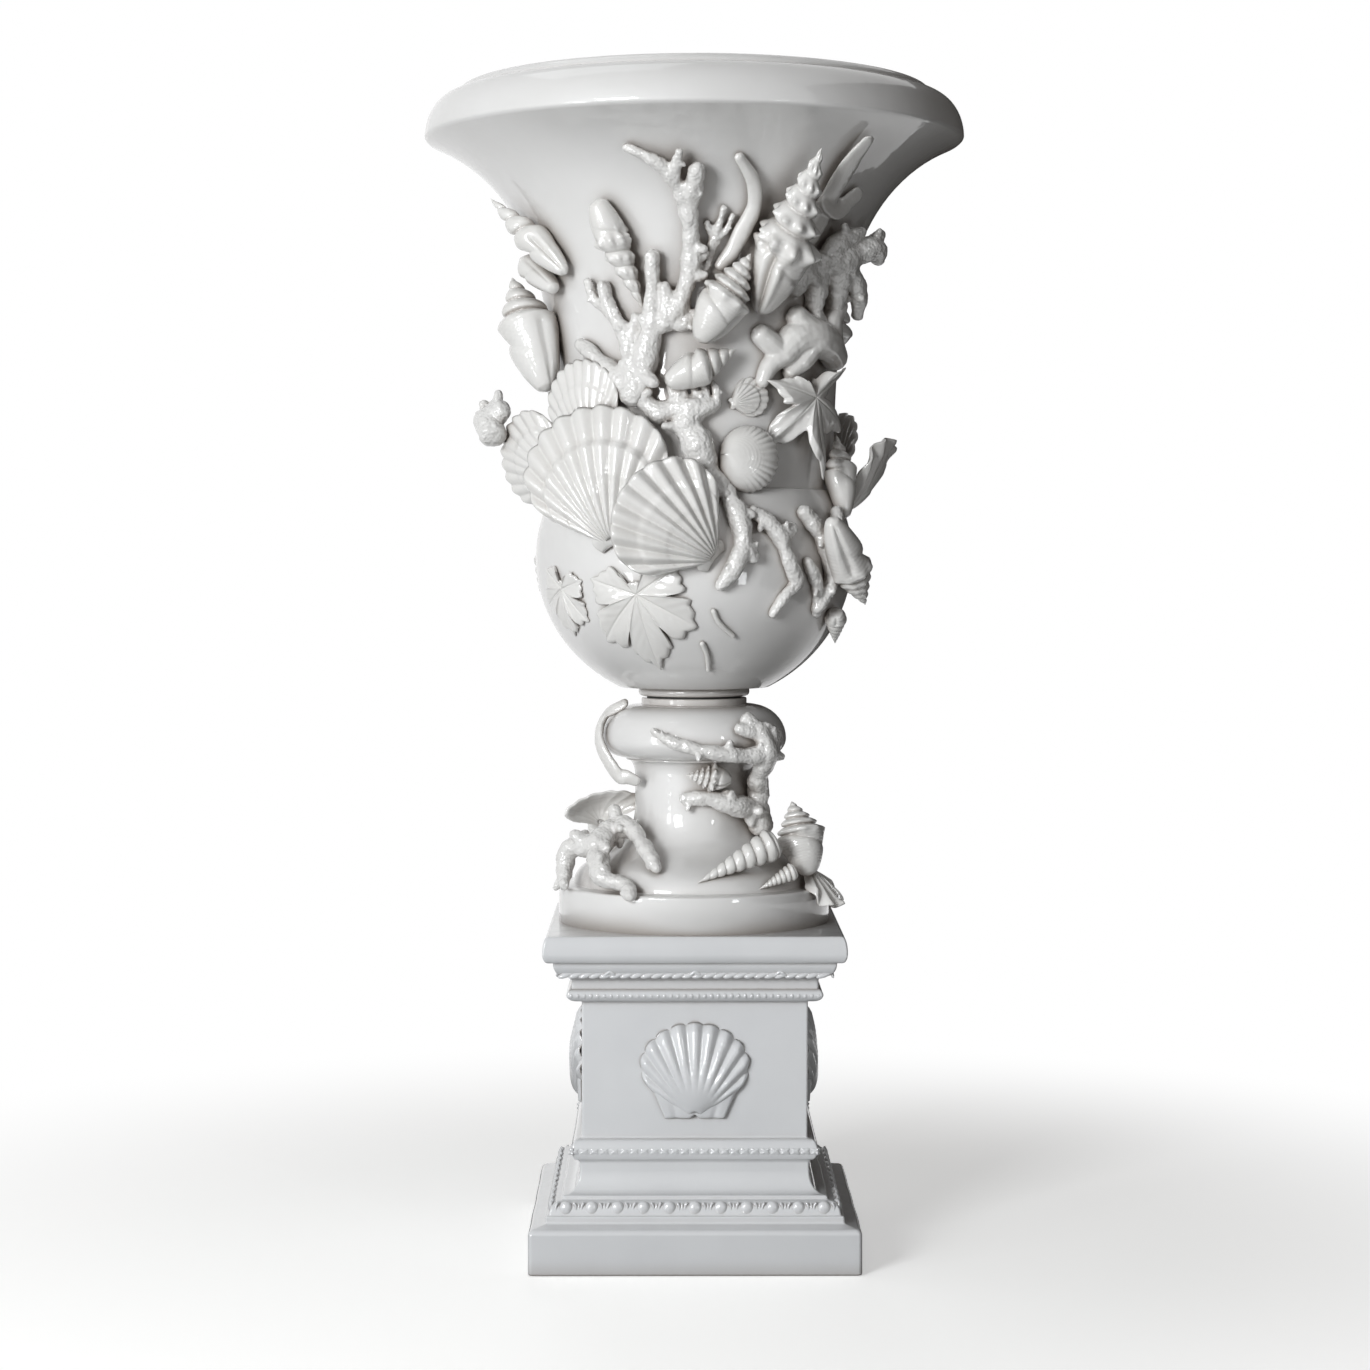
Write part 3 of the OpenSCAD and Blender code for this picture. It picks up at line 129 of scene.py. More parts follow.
# Corals: the stops of each limb, as degrees, height share, stand-off share and thickness share. A
# limb that grows from a stop before it starts with the number of that stop, counted from 0
CORALS = {
    "staghorn_coral": (
        ((-23, 0.49, 0.184, 1.5), (-19, 0.526, 0.204, 1.45), (-15.5, 0.585, 0.204, 1.3),
         (-9, 0.61, 0.204, 1.2), (-5, 0.635, 0.204, 1.15), (-1.5, 0.698, 0.224, 1.05),
         (-2, 0.775, 0.244, 1), (-6, 0.83, 0.244, 0.85), (-11, 0.855, 0.204, 0.7),
         (-17, 0.869, 0.124, 0.45)),
        (6, (0.3, 0.842, 0.264, 0.95)),
        (2, (-14.4, 0.645, 0.224, 0.95), (-14, 0.708, 0.244, 0.8)),
        (0, (-24, 0.57, 0.204, 1.05), (-31, 0.625, 0.184, 0.85), (-33, 0.664, 0.184, 0.65)),
        (13, (-20.5, 0.61, 0.224, 0.7)),
        (0, (-33, 0.53, 0.164, 1.1), (-41, 0.556, 0.144, 0.95), (-47, 0.572, 0.124, 0.7)),
        (3, (-10, 0.66, 0.264, 0.6)),
        (7, (-4, 0.865, 0.224, 0.5)),
    ),
    "slender_coral": (
        ((3, 0.672, 0.076, 0.6), (6, 0.73, 0.096, 0.55), (8.5, 0.778, 0.096, 0.42)),
        (1, (3.5, 0.755, 0.096, 0.4)),
    ),
    "finger_coral": (
        ((12, 0.71, 0.11, 0.85), (15, 0.745, 0.13, 0.85), (17.5, 0.785, 0.16, 0.8),
         (15.5, 0.824, 0.16, 0.7), (11, 0.853, 0.12, 0.55)),
        (0, (8.5, 0.69, 0.1, 0.6)),
    ),
    "strap_coral": (
        ((40, 0.742, 0.105, 0.8), (42, 0.8, 0.145, 0.8), (42, 0.86, 0.185, 0.75),
         (42, 0.89, 0.165, 0.5)),
        (1, (48, 0.79, 0.145, 0.7), (53, 0.815, 0.145, 0.5)),
    ),
    "crag_coral": (
        ((38, 0.66, 0.113, 0.9), (39, 0.69, 0.173, 1), (46, 0.705, 0.233, 1.1),
         (53, 0.715, 0.333, 1.3), (63, 0.745, 0.533, 1.1), (67, 0.73, 0.593, 0.7)),
        (3, (60, 0.69, 0.433, 0.9)),
        (2, (47, 0.65, 0.173, 0.9), (48, 0.62, 0.113, 0.7)),
        (3, (57, 0.655, 0.233, 1), (60, 0.62, 0.153, 0.8)),
        (1, (37, 0.725, 0.233, 0.7)),
    ),
    "arch_coral": (
        ((34, 0.555, 0.125, 0.9), (39, 0.58, 0.165, 1.2), (46, 0.585, 0.225, 1.3),
         (55, 0.575, 0.225, 1.2), (63, 0.556, 0.185, 0.95)),
        (2, (39, 0.615, 0.165, 0.8)),
        (0, (25, 0.583, 0.105, 0.75)),
    ),
    "coral_knot_left": (
        ((-80, 0.438, 1.127, 1.4), (-84, 0.46, 1.177, 1.5), (-90, 0.463, 1.077, 1.1)),
        (1, (-83, 0.482, 1.027, 0.9)),
    ),
    "branch_coral": (
        ((-14, 0.458, 0.131, 1), (-6, 0.468, 0.131, 1), (0, 0.466, 0.131, 1.05),
         (7, 0.474, 0.131, 0.8)),
        (1, (-7, 0.495, 0.131, 0.6)),
        (2, (-5, 0.44, 0.161, 0.85), (-3, 0.415, 0.161, 0.6)),
    ),
    "root_coral_middle": (
        ((11.5, 0.33, 0.129, 0.85), (15, 0.29, 0.129, 0.9), (16, 0.252, 0.139, 0.95),
         (13, 0.215, 0.129, 0.8), (8.5, 0.187, 0.109, 0.6)),
        (2, (20, 0.229, 0.119, 0.55)),
    ),
    "root_coral_right": (
        ((21, 0.299, 0.102, 0.72), (26, 0.283, 0.112, 0.76), (30, 0.259, 0.112, 0.82),
         (33.5, 0.222, 0.112, 0.75), (37, 0.192, 0.102, 0.7), (33, 0.17, 0.092, 0.6),
         (29.5, 0.141, 0.072, 0.45)),
        (2, (35, 0.274, 0.112, 0.66)),
    ),
    "twig_coral": (
        ((42, 0.222, 0.094, 0.6), (47, 0.19, 0.094, 0.6), (51.5, 0.143, 0.084, 0.45)),
    ),
    "vine_tendrils_1": (
        ((15.5, 0.106, 0.059, 0.3), (9, 0.128, 0.064, 0.36), (6.5, 0.147, 0.064, 0.36)),
    ),
    "vine_tendrils_2": (
        ((7, 0.05, 0.052, 0.3), (5.5, 0.075, 0.057, 0.36), (3, 0.095, 0.057, 0.36)),
    ),
    "foot_coral_right": (
        ((64, 0.42, 0.22, 1.4), (62, 0.5, 0.23, 1.4), (62, 0.6, 0.24, 1.2), (52, 0.7, 0.4, 1.15),
         (44, 0.79, 0.24, 1.15), (40, 0.845, 0.18, 1.1), (33, 0.9, 0.16, 0.75)),
        (5, (27, 0.868, 0.13, 0.65)),
        (4, (54, 0.84, 0.15, 0.85)),
        (4, (28, 0.785, 0.2, 0.95), (12, 0.79, 0.16, 0.85), (0, 0.803, 0.14, 0.75),
         (-13, 0.823, 0.121, 0.65), (-25, 0.862, 0.1, 0.5)),
        (1, (46, 0.52, 0.21, 1.25), (32, 0.535, 0.19, 1.15), (12, 0.566, 0.15, 1),
         (-9, 0.565, 0.1, 0.65)),
        (15, (28, 0.58, 0.18, 0.7)),
    ),
    "foot_coral_left": (
        ((-64, 0.5, 0.521, 0.7), (-61, 0.37, 0.481, 1.1), (-55, 0.27, 0.421, 1.35),
         (-43, 0.205, 0.281, 1.1), (-32, 0.172, 0.201, 0.9), (-26, 0.14, 0.171, 0.7)),
        (1, (-44, 0.355, 0.401, 1), (-28, 0.29, 0.281, 0.85), (-19, 0.25, 0.151, 0.65)),
        (2, (-69, 0.24, 0.521, 1.1), (-70, 0.175, 0.421, 0.9), (-63, 0.15, 0.221, 0.7)),
        (9, (-76, 0.28, 0.521, 0.6)),
    ),
    "foot_strand": (
        ((-74, 0.955, 0.097, 0.5), (-79, 0.9, 0.117, 0.6), (-72, 0.81, 0.137, 0.7),
         (-62, 0.74, 0.337, 0.7), (-56, 0.68, 0.397, 0.6), (-52, 0.64, 0.277, 0.5)),
    ),
    "back_corals_1": (
        ((152, 0.5, 0.139, 1.1), (158, 0.57, 0.169, 1), (164, 0.65, 0.169, 0.9),
         (168, 0.74, 0.229, 0.75), (163, 0.82, 0.229, 0.55)),
        (1, (148, 0.63, 0.169, 0.8), (145, 0.7, 0.169, 0.6)),
        (3, (175, 0.8, 0.229, 0.5)),
    ),
    "back_corals_2": (
        ((222, 0.56, 0.113, 0.9), (228, 0.62, 0.133, 1), (238, 0.67, 0.173, 1),
         (246, 0.73, 0.233, 0.7)),
        (1, (224, 0.69, 0.133, 0.7)),
    ),
    "back_corals_3": (
        ((206, 0.36, 0.127, 0.9), (211, 0.3, 0.127, 0.9), (216, 0.25, 0.137, 0.8),
         (214, 0.19, 0.117, 0.6)),
        (1, (222, 0.32, 0.127, 0.6)),
    ),
    "foot_back_coral": (
        ((196, 0.3, 0.235, 0.9), (204, 0.4, 0.155, 1), (208, 0.52, 0.135, 1),
         (206, 0.62, 0.175, 0.9), (200, 0.7, 0.355, 0.85), (194, 0.79, 0.175, 0.8),
         (190, 0.86, 0.095, 0.6)),
        (5, (180, 0.8, 0.135, 0.65), (168, 0.82, 0.095, 0.5)),
        (0, (186, 0.24, 0.155, 0.7), (178, 0.2, 0.075, 0.5)),
    ),
}
# Vine leaves: name, spot, length, roll, curl, wave, stretch
LEAVES = (
    ("curled_vine_leaf", (46, 0.487, 0.34), 70, 10, -8, 10, 0.95),
    ("vine_leaf_large", (-21, 0.172, 0.025), 62, 8, 0, 0, 0.96),
    ("vine_leaf_small", (-55, 0.18, 0.011), 39, -12, 0, 0, 1),
    ("back_leaves_1", (160, 0.142, 0.026), 63, -8, 0, 0, 0.82),
    ("back_leaves_2", (236, 0.46, 0.002), 56, 24, 12, 7.2, 1),
)
# Limbs that only the finished corals have, with all of their stops
MORE_BRANCHES = {
    "staghorn_coral": (
        ((-31, 0.625, 0.184, 0.85), (-37, 0.64, 0.17, 0.6), (-40, 0.672, 0.16, 0.45)),
        ((-9, 0.61, 0.204, 1.1), (-4, 0.6, 0.2, 0.8), (2, 0.62, 0.2, 0.6)),
        ((-33, 0.53, 0.164, 1.0), (-36, 0.5, 0.13, 0.8), (-44, 0.49, 0.1, 0.6)),
        ((-1.5, 0.698, 0.224, 0.9), (3, 0.71, 0.22, 0.55)),
    ),
    "arch_coral": (
        ((46, 0.585, 0.225, 1.2), (43, 0.55, 0.17, 0.9), (38, 0.525, 0.13, 0.6)),
        ((55, 0.575, 0.225, 1.1), (57, 0.61, 0.2, 0.9), (62, 0.635, 0.2, 0.6)),
        ((34, 0.555, 0.125, 0.9), (29, 0.535, 0.1, 0.7), (26, 0.51, 0.1, 0.5)),
    ),
    "crag_coral": (
        ((63, 0.745, 0.5, 0.9), (66, 0.77, 0.5, 0.6)),
        ((46, 0.705, 0.233, 1.0), (50, 0.74, 0.3, 0.9), (57, 0.765, 0.4, 0.6)),
        ((60, 0.69, 0.433, 0.9), (66, 0.66, 0.45, 0.8), (70, 0.63, 0.4, 0.6)),
        ((48, 0.62, 0.14, 0.8), (54, 0.6, 0.2, 0.7)),
    ),
    "twig_coral": (
        ((42, 0.3, 0.12, 0.7), (47, 0.27, 0.14, 0.85), (52, 0.235, 0.16, 0.95),
         (54, 0.19, 0.13, 0.8), (50, 0.15, 0.1, 0.6)),
        ((52, 0.235, 0.16, 0.9), (57, 0.26, 0.18, 0.7), (60, 0.3, 0.16, 0.6)),
    ),
    "branch_coral": (
        ((0, 0.466, 0.131, 1.1), (-3, 0.44, 0.16, 1.25), (0.5, 0.41, 0.17, 1.45),
         (4, 0.37, 0.16, 1.3), (9, 0.335, 0.14, 1.0)),
        ((-14, 0.458, 0.131, 1.0), (-18, 0.474, 0.16, 0.9), (-21, 0.49, 0.17, 1.0)),
        *(((d, 0.47, 0.16, 0.4), (d + 1, 0.488, 0.2, 0.36), (d - 0.6, 0.506, 0.17, 0.3))
          for d in (-9, -5, -1, 3, 7)),
    ),
    "slender_coral": (
        ((3, 0.672, 0.076, 0.6), (0.5, 0.7, 0.09, 0.5), (-0.4, 0.738, 0.09, 0.36)),
        ((6, 0.73, 0.096, 0.5), (9.5, 0.742, 0.1, 0.42), (11.5, 0.768, 0.1, 0.3)),
    ),
    "coral_knot_left": (((-84, 0.46, 1.15, 1.2), (-80, 0.475, 0.95, 1.0)),),
}
# Corals with a smooth skin and hornlike arms; the others are knobbly and set with small nubs
SMOOTH_CORALS = ("arch_coral", "foot_strand", "vine_tendrils", "strap_coral", "finger_coral")
# How many times thicker than in the part a coral is, to fill its place, and how flat its limbs are
FULLER = {"staghorn_coral": 1.15, "foot_coral_right": 1.15, "foot_coral_left": 1.2,
          "arch_coral": 1.9, "crag_coral": 1.45, "coral_knot_left": 1.3, "branch_coral": 1.45,
          "root_coral_middle": 1.4, "root_coral_right": 1.3, "twig_coral": 1.35,
          "strap_coral": 2.1, "finger_coral": 1.3, "foot_strand": 1.7}
FLATTENED = {"finger_coral": 0.75, "strap_coral": 0.3, "foot_strand": 0.5}
# Moulds of the spiral shells: whorls, place of the shoulder, swell of a whorl, height of the
# knobs, flare of the lip, width of the canal, place of the mouth slit round the shell, threads
MOULDS = {
    "whelk": (5, 0.44, 0.3, 0.045, 0.16, 0.16, 0.4, 0.005),
    "pear": (4, 0.42, 0.34, 0, 0.06, 0.17, 0.52, 0.002),
    "beaded": (6, 0.5, 0.26, 0.07, 0.1, 0.14, 0.42, 0.003),
    "spindle": (6, 0.58, 0.24, 0.22, 0.3, 0.13, 0.12, 0.004),
    "slender": (4, 0.56, 0.44, 0, 0.2, 0.16, 0.36, 0.002),
    "auger": (9, 0.9, 0.24, 0, 0, 0.5, 0.37, 0.003),
    "turret": (6, 0.66, 0.2, 0.12, 0.24, 0.4, 0.45, 0.006),
    "moon": (4, 0.5, 0.26, 0, 0.1, 0.2, 0.55, 0.002),
    "grooved": (6, 0.8, 0.2, 0, 0.1, 0.4, 0.45, 0.02),
    "olive": (3, 0.3, 0.14, 0, 0.02, 0.3, 0.37, 0.002),
}
SHOULDER_KNOBS = 9
# Ribbed fans: half their angle, and the shares of the way out where the ribs start and are full
FAN_KINDS = {"fan": (56, 0, 0.1), "leaf": (56, 0, 0.1), "relief": (60, 0.26, 0.66),
             "cockle": (84, 0.55, 0.85)}
# Depth of the ribs of the flatter fans, by their number of ribs, and of the pedestal's relief
RIB_DEPTH, RELIEF_DEPTH = {8: 0.2, 9: 0.6, 12: 0.36}, 0.75
# Fans wider than this have a deep growth step near their margin
GREAT_FAN = 140
# Steps of the grids, across and along, of limbs and of spun walls
SHELL_GRID, EAR_GRID, LEAF_GRID, PLATE_GRID = (100, 140), (48, 22), (420, 78), (56, 26)
STEPS_PER_RIB, FAN_STEPS, LIMB_SIDES, NUB_SIDES, SPIN_STEPS = 14, 64, 14, 8, 216
# Melting of a coral: voxels in metres with few and with many limbs, and the height in millimetres
# of the grain on smooth and on knobbly ones
VOXELS, MANY_LIMBS, CORAL_GRAIN = (0.0013, 0.0015), 4, (0.12, 0.5)
# Lobes of a vine leaf: way in degrees, reach as a share of its length, half width in degrees
LOBES = ((0, 1.08, 27), (54, 1.05, 27), (-54, 1.05, 27), (116, 1.0, 35), (-116, 1.0, 35))
# Tin glazes: name, colour of the body, colour where it pools, height and size of the grain
GLAZES = {
    "wall": ("White tin glaze on the thrown wall", "#E3E2E1", "#D9D8D6", 0, 1),
    "shell": ("White tin glaze on shells", "#E6E5E3", "#D6D4D0", 0.08, 6),
    "coral": ("White tin glaze on grainy coral", "#E4E3E1", "#D2D0CD", 0.45, 3.2),
    "leaf": ("White tin glaze on leaves", "#E5E4E2", "#D6D4D0", 0.05, 7),
    "pedestal": ("Greyed tin glaze of the pedestal", "#D9DADB", "#CDCED0", 0, 1),
}
# Lamps: name, place, height that they are aimed at, size in metres, share of the key's power
LAMPS = (
    ("Window", (-1.85, -3.1, 1.3), 0.65, (1.0, 1.3), 1),
    ("Side window", (-2.8, -2.4, 0.9), 0.4, (0.5, 0.9), 0.12),
    ("Low window left", (-1.49, -1.34, 0.17), 0.36, (0.26, 0.3), 0.035),
    ("Low window right", (1.12, -1.66, 0.17), 0.36, (0.17, 0.3), 0.018),
    ("Far window", (2.2, -3.1, 1.4), 0.6, (0.3, 0.5), 0.06),
    ("Back light", (0.4, 3.6, 1.9), 0.6, (2.2, 2.2), 0.55),
    ("Ceiling", (-0.7, 0.2, 3.0), 0.6, (1.2, 1.2), 0.045),
)
LAMP_COLOUR = (0.965, 0.985, 1.0)
# Dark cloths beside the vase: degrees they are turned, and place
FLAGS, FLAG_HALF = ((0, (1.5, 0.0, 1.3)), (52, (1.05, 1.9, 1.3))), 1.3
FLOOR_HALF, FLOOR_DROP = 30, 0.0005
CAMERA_SPOT, CAMERA_LENS = (-0.0234, -3.137, 0.729), 77.52
CAMERA_DOWN, CAMERA_YAW = 2.47, -0.2526


def unit(arrow):
    return arrow / np.linalg.norm(arrow)


def bend(p, q, mode, steps=10):
    """Round stretch from p to q: level first where mode is 2, upright first where it is 1."""
    turn = np.radians(90 * np.arange(1, steps + 1) / steps)
    if mode == 1:
        return list(zip(q[0] + (p[0] - q[0]) * np.cos(turn), p[1] + (q[1] - p[1]) * np.sin(turn)))
    return list(zip(p[0] + (q[0] - p[0]) * np.sin(turn), q[1] + (p[1] - q[1]) * np.cos(turn)))


def curve(a, b, c, d, steps=36):
    """Free curve with two pulls."""
    t = np.linspace(0, 1, steps + 1)[:, None]
    s = 1 - t
    a, b, c, d = (np.array(p, float) for p in (a, b, c, d))
    return [tuple(p) for p in s**3 * a + 3 * s * s * t * b + 3 * s * t * t * c + t**3 * d]


def outline(rows, base, span):
    """Outline from rows of (out share, up share, mode)."""
    line, last = [], None
    for out, up, mode in rows:
        spot = (base[0] + out * span[0], base[1] + up * span[1])
        line += [spot] if mode == 0 else bend(last, spot, mode)
        last = spot
    return line


def soften(line, size):
    """The same outline with a small round at each corner, as thick glaze gives it."""
    made = [tuple(line[0])]
    for before, spot, after in zip(line, line[1:], line[2:]):
        before, spot, after = (np.array(p, float) for p in (before, spot, after))
        back, on = np.linalg.norm(before - spot), np.linalg.norm(after - spot)
        if min(back, on) < 1e-6:
            continue
        straight = -((before - spot) @ (after - spot)) / (back * on)
        if math.degrees(math.acos(max(-1, min(1, straight)))) < 18:
            made.append(tuple(spot))
            continue
        cut = min(size, 0.45 * back, 0.45 * on)
        start, end = spot + (before - spot) / back * cut, spot + (after - spot) / on * cut
        for t in (0, 0.3, 0.7, 1):
            made.append(tuple((1 - t) ** 2 * start + 2 * t * (1 - t) * spot + t * t * end))
    return made + [tuple(line[-1])]


def bulb_at(z, wall):
    return (BULB_R - wall) * math.sqrt(1 - ((z - BULB_Z) / (BULB_HALF_H - wall)) ** 2)


def foot_outside():
    """Outer side of the foot, from the ring to the seam."""
    low, waist, high = RING_H + 1, FOOT_H * WAIST_AT, FOOT_H * STEM_AT
    cushion, full, top = FOOT_H * SEAT_AT, FOOT_H * FULL_AT, FOOT_H * CUSHION_AT
    line = [(RING_R, 0), (RING_R, RING_H - 3)]
    line += bend((RING_R, RING_H - 3), (RING_R - 3, RING_H), 1, 5)
    line += curve((BELL_R, low), (BELL_R * 0.96, low + (waist - low) * 0.44),
                  (WAIST_R * 1.01, low + (waist - low) * 0.26), (WAIST_R, waist))
    line += [(WAIST_R, high)]
    line += bend((WAIST_R, high), (WAIST_R * 1.15, cushion - FOOT_WALL / 4), 1)
    line += [(WAIST_R * 1.15, cushion), (WAIST_R * 1.2, cushion)]
    line += bend((WAIST_R * 1.2, cushion), (CUSHION_R, full), 2)
    line += bend((CUSHION_R, full), (COLLAR_R * 1.07, top), 1)
    line += [(COLLAR_R, top), (COLLAR_R, FOOT_H)]
    return [(r, PEDESTAL_H + z) for r, z in line]


def bowl_outside():
    """Outer side of the bowl, from the seam to the lower corner of the lip."""
    rise, bulb_z = LIP_Z - LEDGE_Z, BOWL_Z + COLLAR_BEAD_H
    bead = (COLLAR_R + COLLAR_BEAD_OUT, BOWL_Z + COLLAR_BEAD_H / 2)
    line = [(COLLAR_R, BOWL_Z)] + bend((COLLAR_R, BOWL_Z), bead, 2, 5)
    line += bend(bead, (COLLAR_R, bulb_z), 1, 5)
    for z in bulb_z + (LEDGE_Z - BOWL_Z - COLLAR_BEAD_H) * (np.arange(41) / 40) ** 1.35:
        line.append((bulb_at(z, 0), z))
    line += curve((THROAT_R, LEDGE_Z), (THROAT_R * 1.056, LEDGE_Z + rise * 0.384),
                  (THROAT_R * 0.936, LEDGE_Z + rise * 0.836), (LIP_R - LIP_LAP, LIP_Z))
    return line


WALL = np.array(foot_outside() + bowl_outside())


def radius_at(z):
    return np.interp(z, WALL[:, 1], WALL[:, 0])


def on_skin(degrees, z, off):
    """Place on the wall, off millimetres away from it along its normal."""
    slope = np.arctan((radius_at(z + 8) - radius_at(z - 8)) / 16)
    r, a = radius_at(z) + off * np.cos(slope), np.radians(degrees)
    return np.stack([r * np.sin(a), -r * np.cos(a), z - off * np.sin(slope)], -1)


def on_wall(node, spot):
    """Spot of (degrees, height share, stand-off share) on the foot or on the bowl."""
    low, tall = (PEDESTAL_H, FOOT_H) if node.startswith("foot") else (BOWL_Z, BOWL_H)
    return on_skin(spot[0], low + spot[1] * tall, spot[2] * RELIEF - SUNK)


def stance(start, end):
    """Sideways, along and outward directions of a piece lying from start to end."""
    along = unit(end - start)
    out = unit((start + end) * (1, 1, 0))
    out = unit(out - (out @ along) * along)
    return np.cross(along, out), along, out


def ripple(spots, size, seed):
    """Soft unevenness, mostly between -1 and 1, with waves about size millimetres long."""
    dice = np.random.default_rng(seed)
    ways = dice.normal(size=(7, 3))
    ways *= (dice.uniform(0.7, 1.5, 7) / np.linalg.norm(ways, axis=1))[:, None]
    waves = np.sin(spots @ ways.T * (math.tau / size) + dice.uniform(0, 6.28, 7))
    return waves.sum(-1) / 3.6


def step_up(x, low, high):
    t = np.clip((x - low) / (high - low), 0, 1)
    return t * t * (3 - 2 * t)


def hump(x, middle, width):
    """Soft bump of height 1 round the middle."""
    return np.exp(-(((x - middle) / width) ** 2))


def round_off(x, width):
    """Quarter round from 0 to 1 over the width."""
    return np.sqrt(np.clip(x / width, 0, 1))


def bent_grid(mesh, across, along, place):
    """Adds a grid whose points go to place(u, v), with u and v from 0 to 1, in millimetres."""
    made = bmesh.ops.create_grid(mesh, x_segments=across, y_segments=along, size=0.5)["verts"]
    flat = np.array([vert.co[:2] for vert in made])
    flat = (flat - flat.min(0)) / (flat.max(0) - flat.min(0))
    for vert, spot in zip(made, (place(flat[:, 0], flat[:, 1]) * MM).tolist()):
        vert.co = spot


def sheet(mesh, across, along, place, thick, ring=False):
    """Adds a closed sheet with round edges, where place(u, s, lift) lifts a point off its middle.
    A ring closes on itself across, round the middle where s is 0."""
    front = 0.72

    def both_sides(u, v):
        s = np.where(v <= front, v / front, (1 - v) / (1 - front))
        lift = round_off(1 - s, 0.05)
        if not ring:
            lift *= round_off(np.minimum(u, 1 - u), 0.025)
            lift *= round_off(s, 0.05)
        return place(u, s, np.where(v <= front, 0.5, -0.5) * thick * lift)

    bent_grid(mesh, across, along, both_sides)


def smooth_path(stops, step):
    """Rows along a smooth curve through the stops, about step millimetres apart."""
    ends = np.vstack([2 * stops[0] - stops[1], stops, 2 * stops[-1] - stops[-2]])
    rows = []
    for a, b, c, d in zip(ends, ends[1:], ends[2:], ends[3:]):
        count = max(3, int(np.linalg.norm((c - b)[:3]) / step))
        t = np.linspace(0, 1, count, endpoint=False)[:, None]
        rows.append(0.5 * (2 * b + (c - a) * t + (2 * a - 5 * b + 4 * c - d) * t**2
                           + (3 * b - a - 3 * c + d) * t**3))
    return np.vstack(rows + [stops[-1:]])


def tube(mesh, rows, sides, wobble=0.0, seed=0, flat=1.0):
    """Adds a tube with round ends along rows of x, y, z and radius."""
    spots, radii = rows[:, :3], rows[:, 3]
    walked = np.concatenate([[0], np.cumsum(np.linalg.norm(np.diff(spots, axis=0), axis=1))])
    ahead = np.gradient(spots, walked, axis=0)
    ahead /= np.linalg.norm(ahead, axis=1)[:, None]
    reach = walked[-1] + radii[0] + radii[-1]

    def between(at, arrows):
        return np.stack([np.interp(at, walked, arrows[:, k]) for k in range(3)], -1)

    def place(u, v):
        at = -radii[0] + v * reach
        held = np.clip(at, 0, walked[-1])
        middle, y = between(held, spots), between(held, ahead)
        y /= np.linalg.norm(y, axis=1)[:, None]
        r = np.interp(held, walked, radii)
        past = (at - held) / r
        out = middle * (1, 1, 0)
        out = out - (out * y).sum(-1)[:, None] * y
        out /= np.linalg.norm(out, axis=1)[:, None]
        side = np.cross(y, out)
        swing = math.tau * u
        girth = r * np.sqrt(np.clip(1 - past * past, 0, 1))
        girth = girth * (1 + wobble * (np.sin(at / 8.3 + seed) + 0.5 * np.sin(at / 3.7 + 2 * seed)
                                       + 0.4 * np.sin(2 * swing + at / 11)))
        return (middle + (at - held)[:, None] * y + (girth * np.cos(swing))[:, None] * side
                + (girth * flat * np.sin(swing))[:, None] * out)

    bent_grid(mesh, sides, max(8, int(reach / max(1.6, radii.mean() * 0.3))), place)


def new_object(mesh, name):
    data = bpy.data.meshes.new(name)
    mesh.to_mesh(data)
    mesh.free()
    made = bpy.data.objects.new(name, data)
    bpy.context.scene.collection.objects.link(made)
    return made


def make_piece(mesh, name, body, nodes, finish):
    """Turns the mesh into a smooth piece that rides on a body and stands for its nodes."""
    bmesh.ops.remove_doubles(mesh, verts=mesh.verts, dist=2e-6)
    bmesh.ops.recalc_face_normals(mesh, faces=mesh.faces)
    piece = new_object(mesh, name)
    piece.data.polygons.foreach_set("use_smooth", [True] * len(piece.data.polygons))
    piece.data.materials.append(finish_of(finish))
    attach(piece, body)
    if nodes:
        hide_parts(*nodes)
    return piece


def pedestal_piece(mesh, name, *nodes):
    return make_piece(mesh, name, "pedestal", nodes, "pedestal")


def vase_piece(mesh, name, node, finish):
    return make_piece(mesh, name, "vase", [node], finish)


def node_of(name):
    """Node that a piece stands for: its name without the number that it has in a group."""
    return name.rstrip("_0123456789")


def weigh_normals(piece):
    """Keeps broad faces flat beside small rounded edges."""
    piece.modifiers.new("Weighted normals", "WEIGHTED_NORMAL").weight = 80


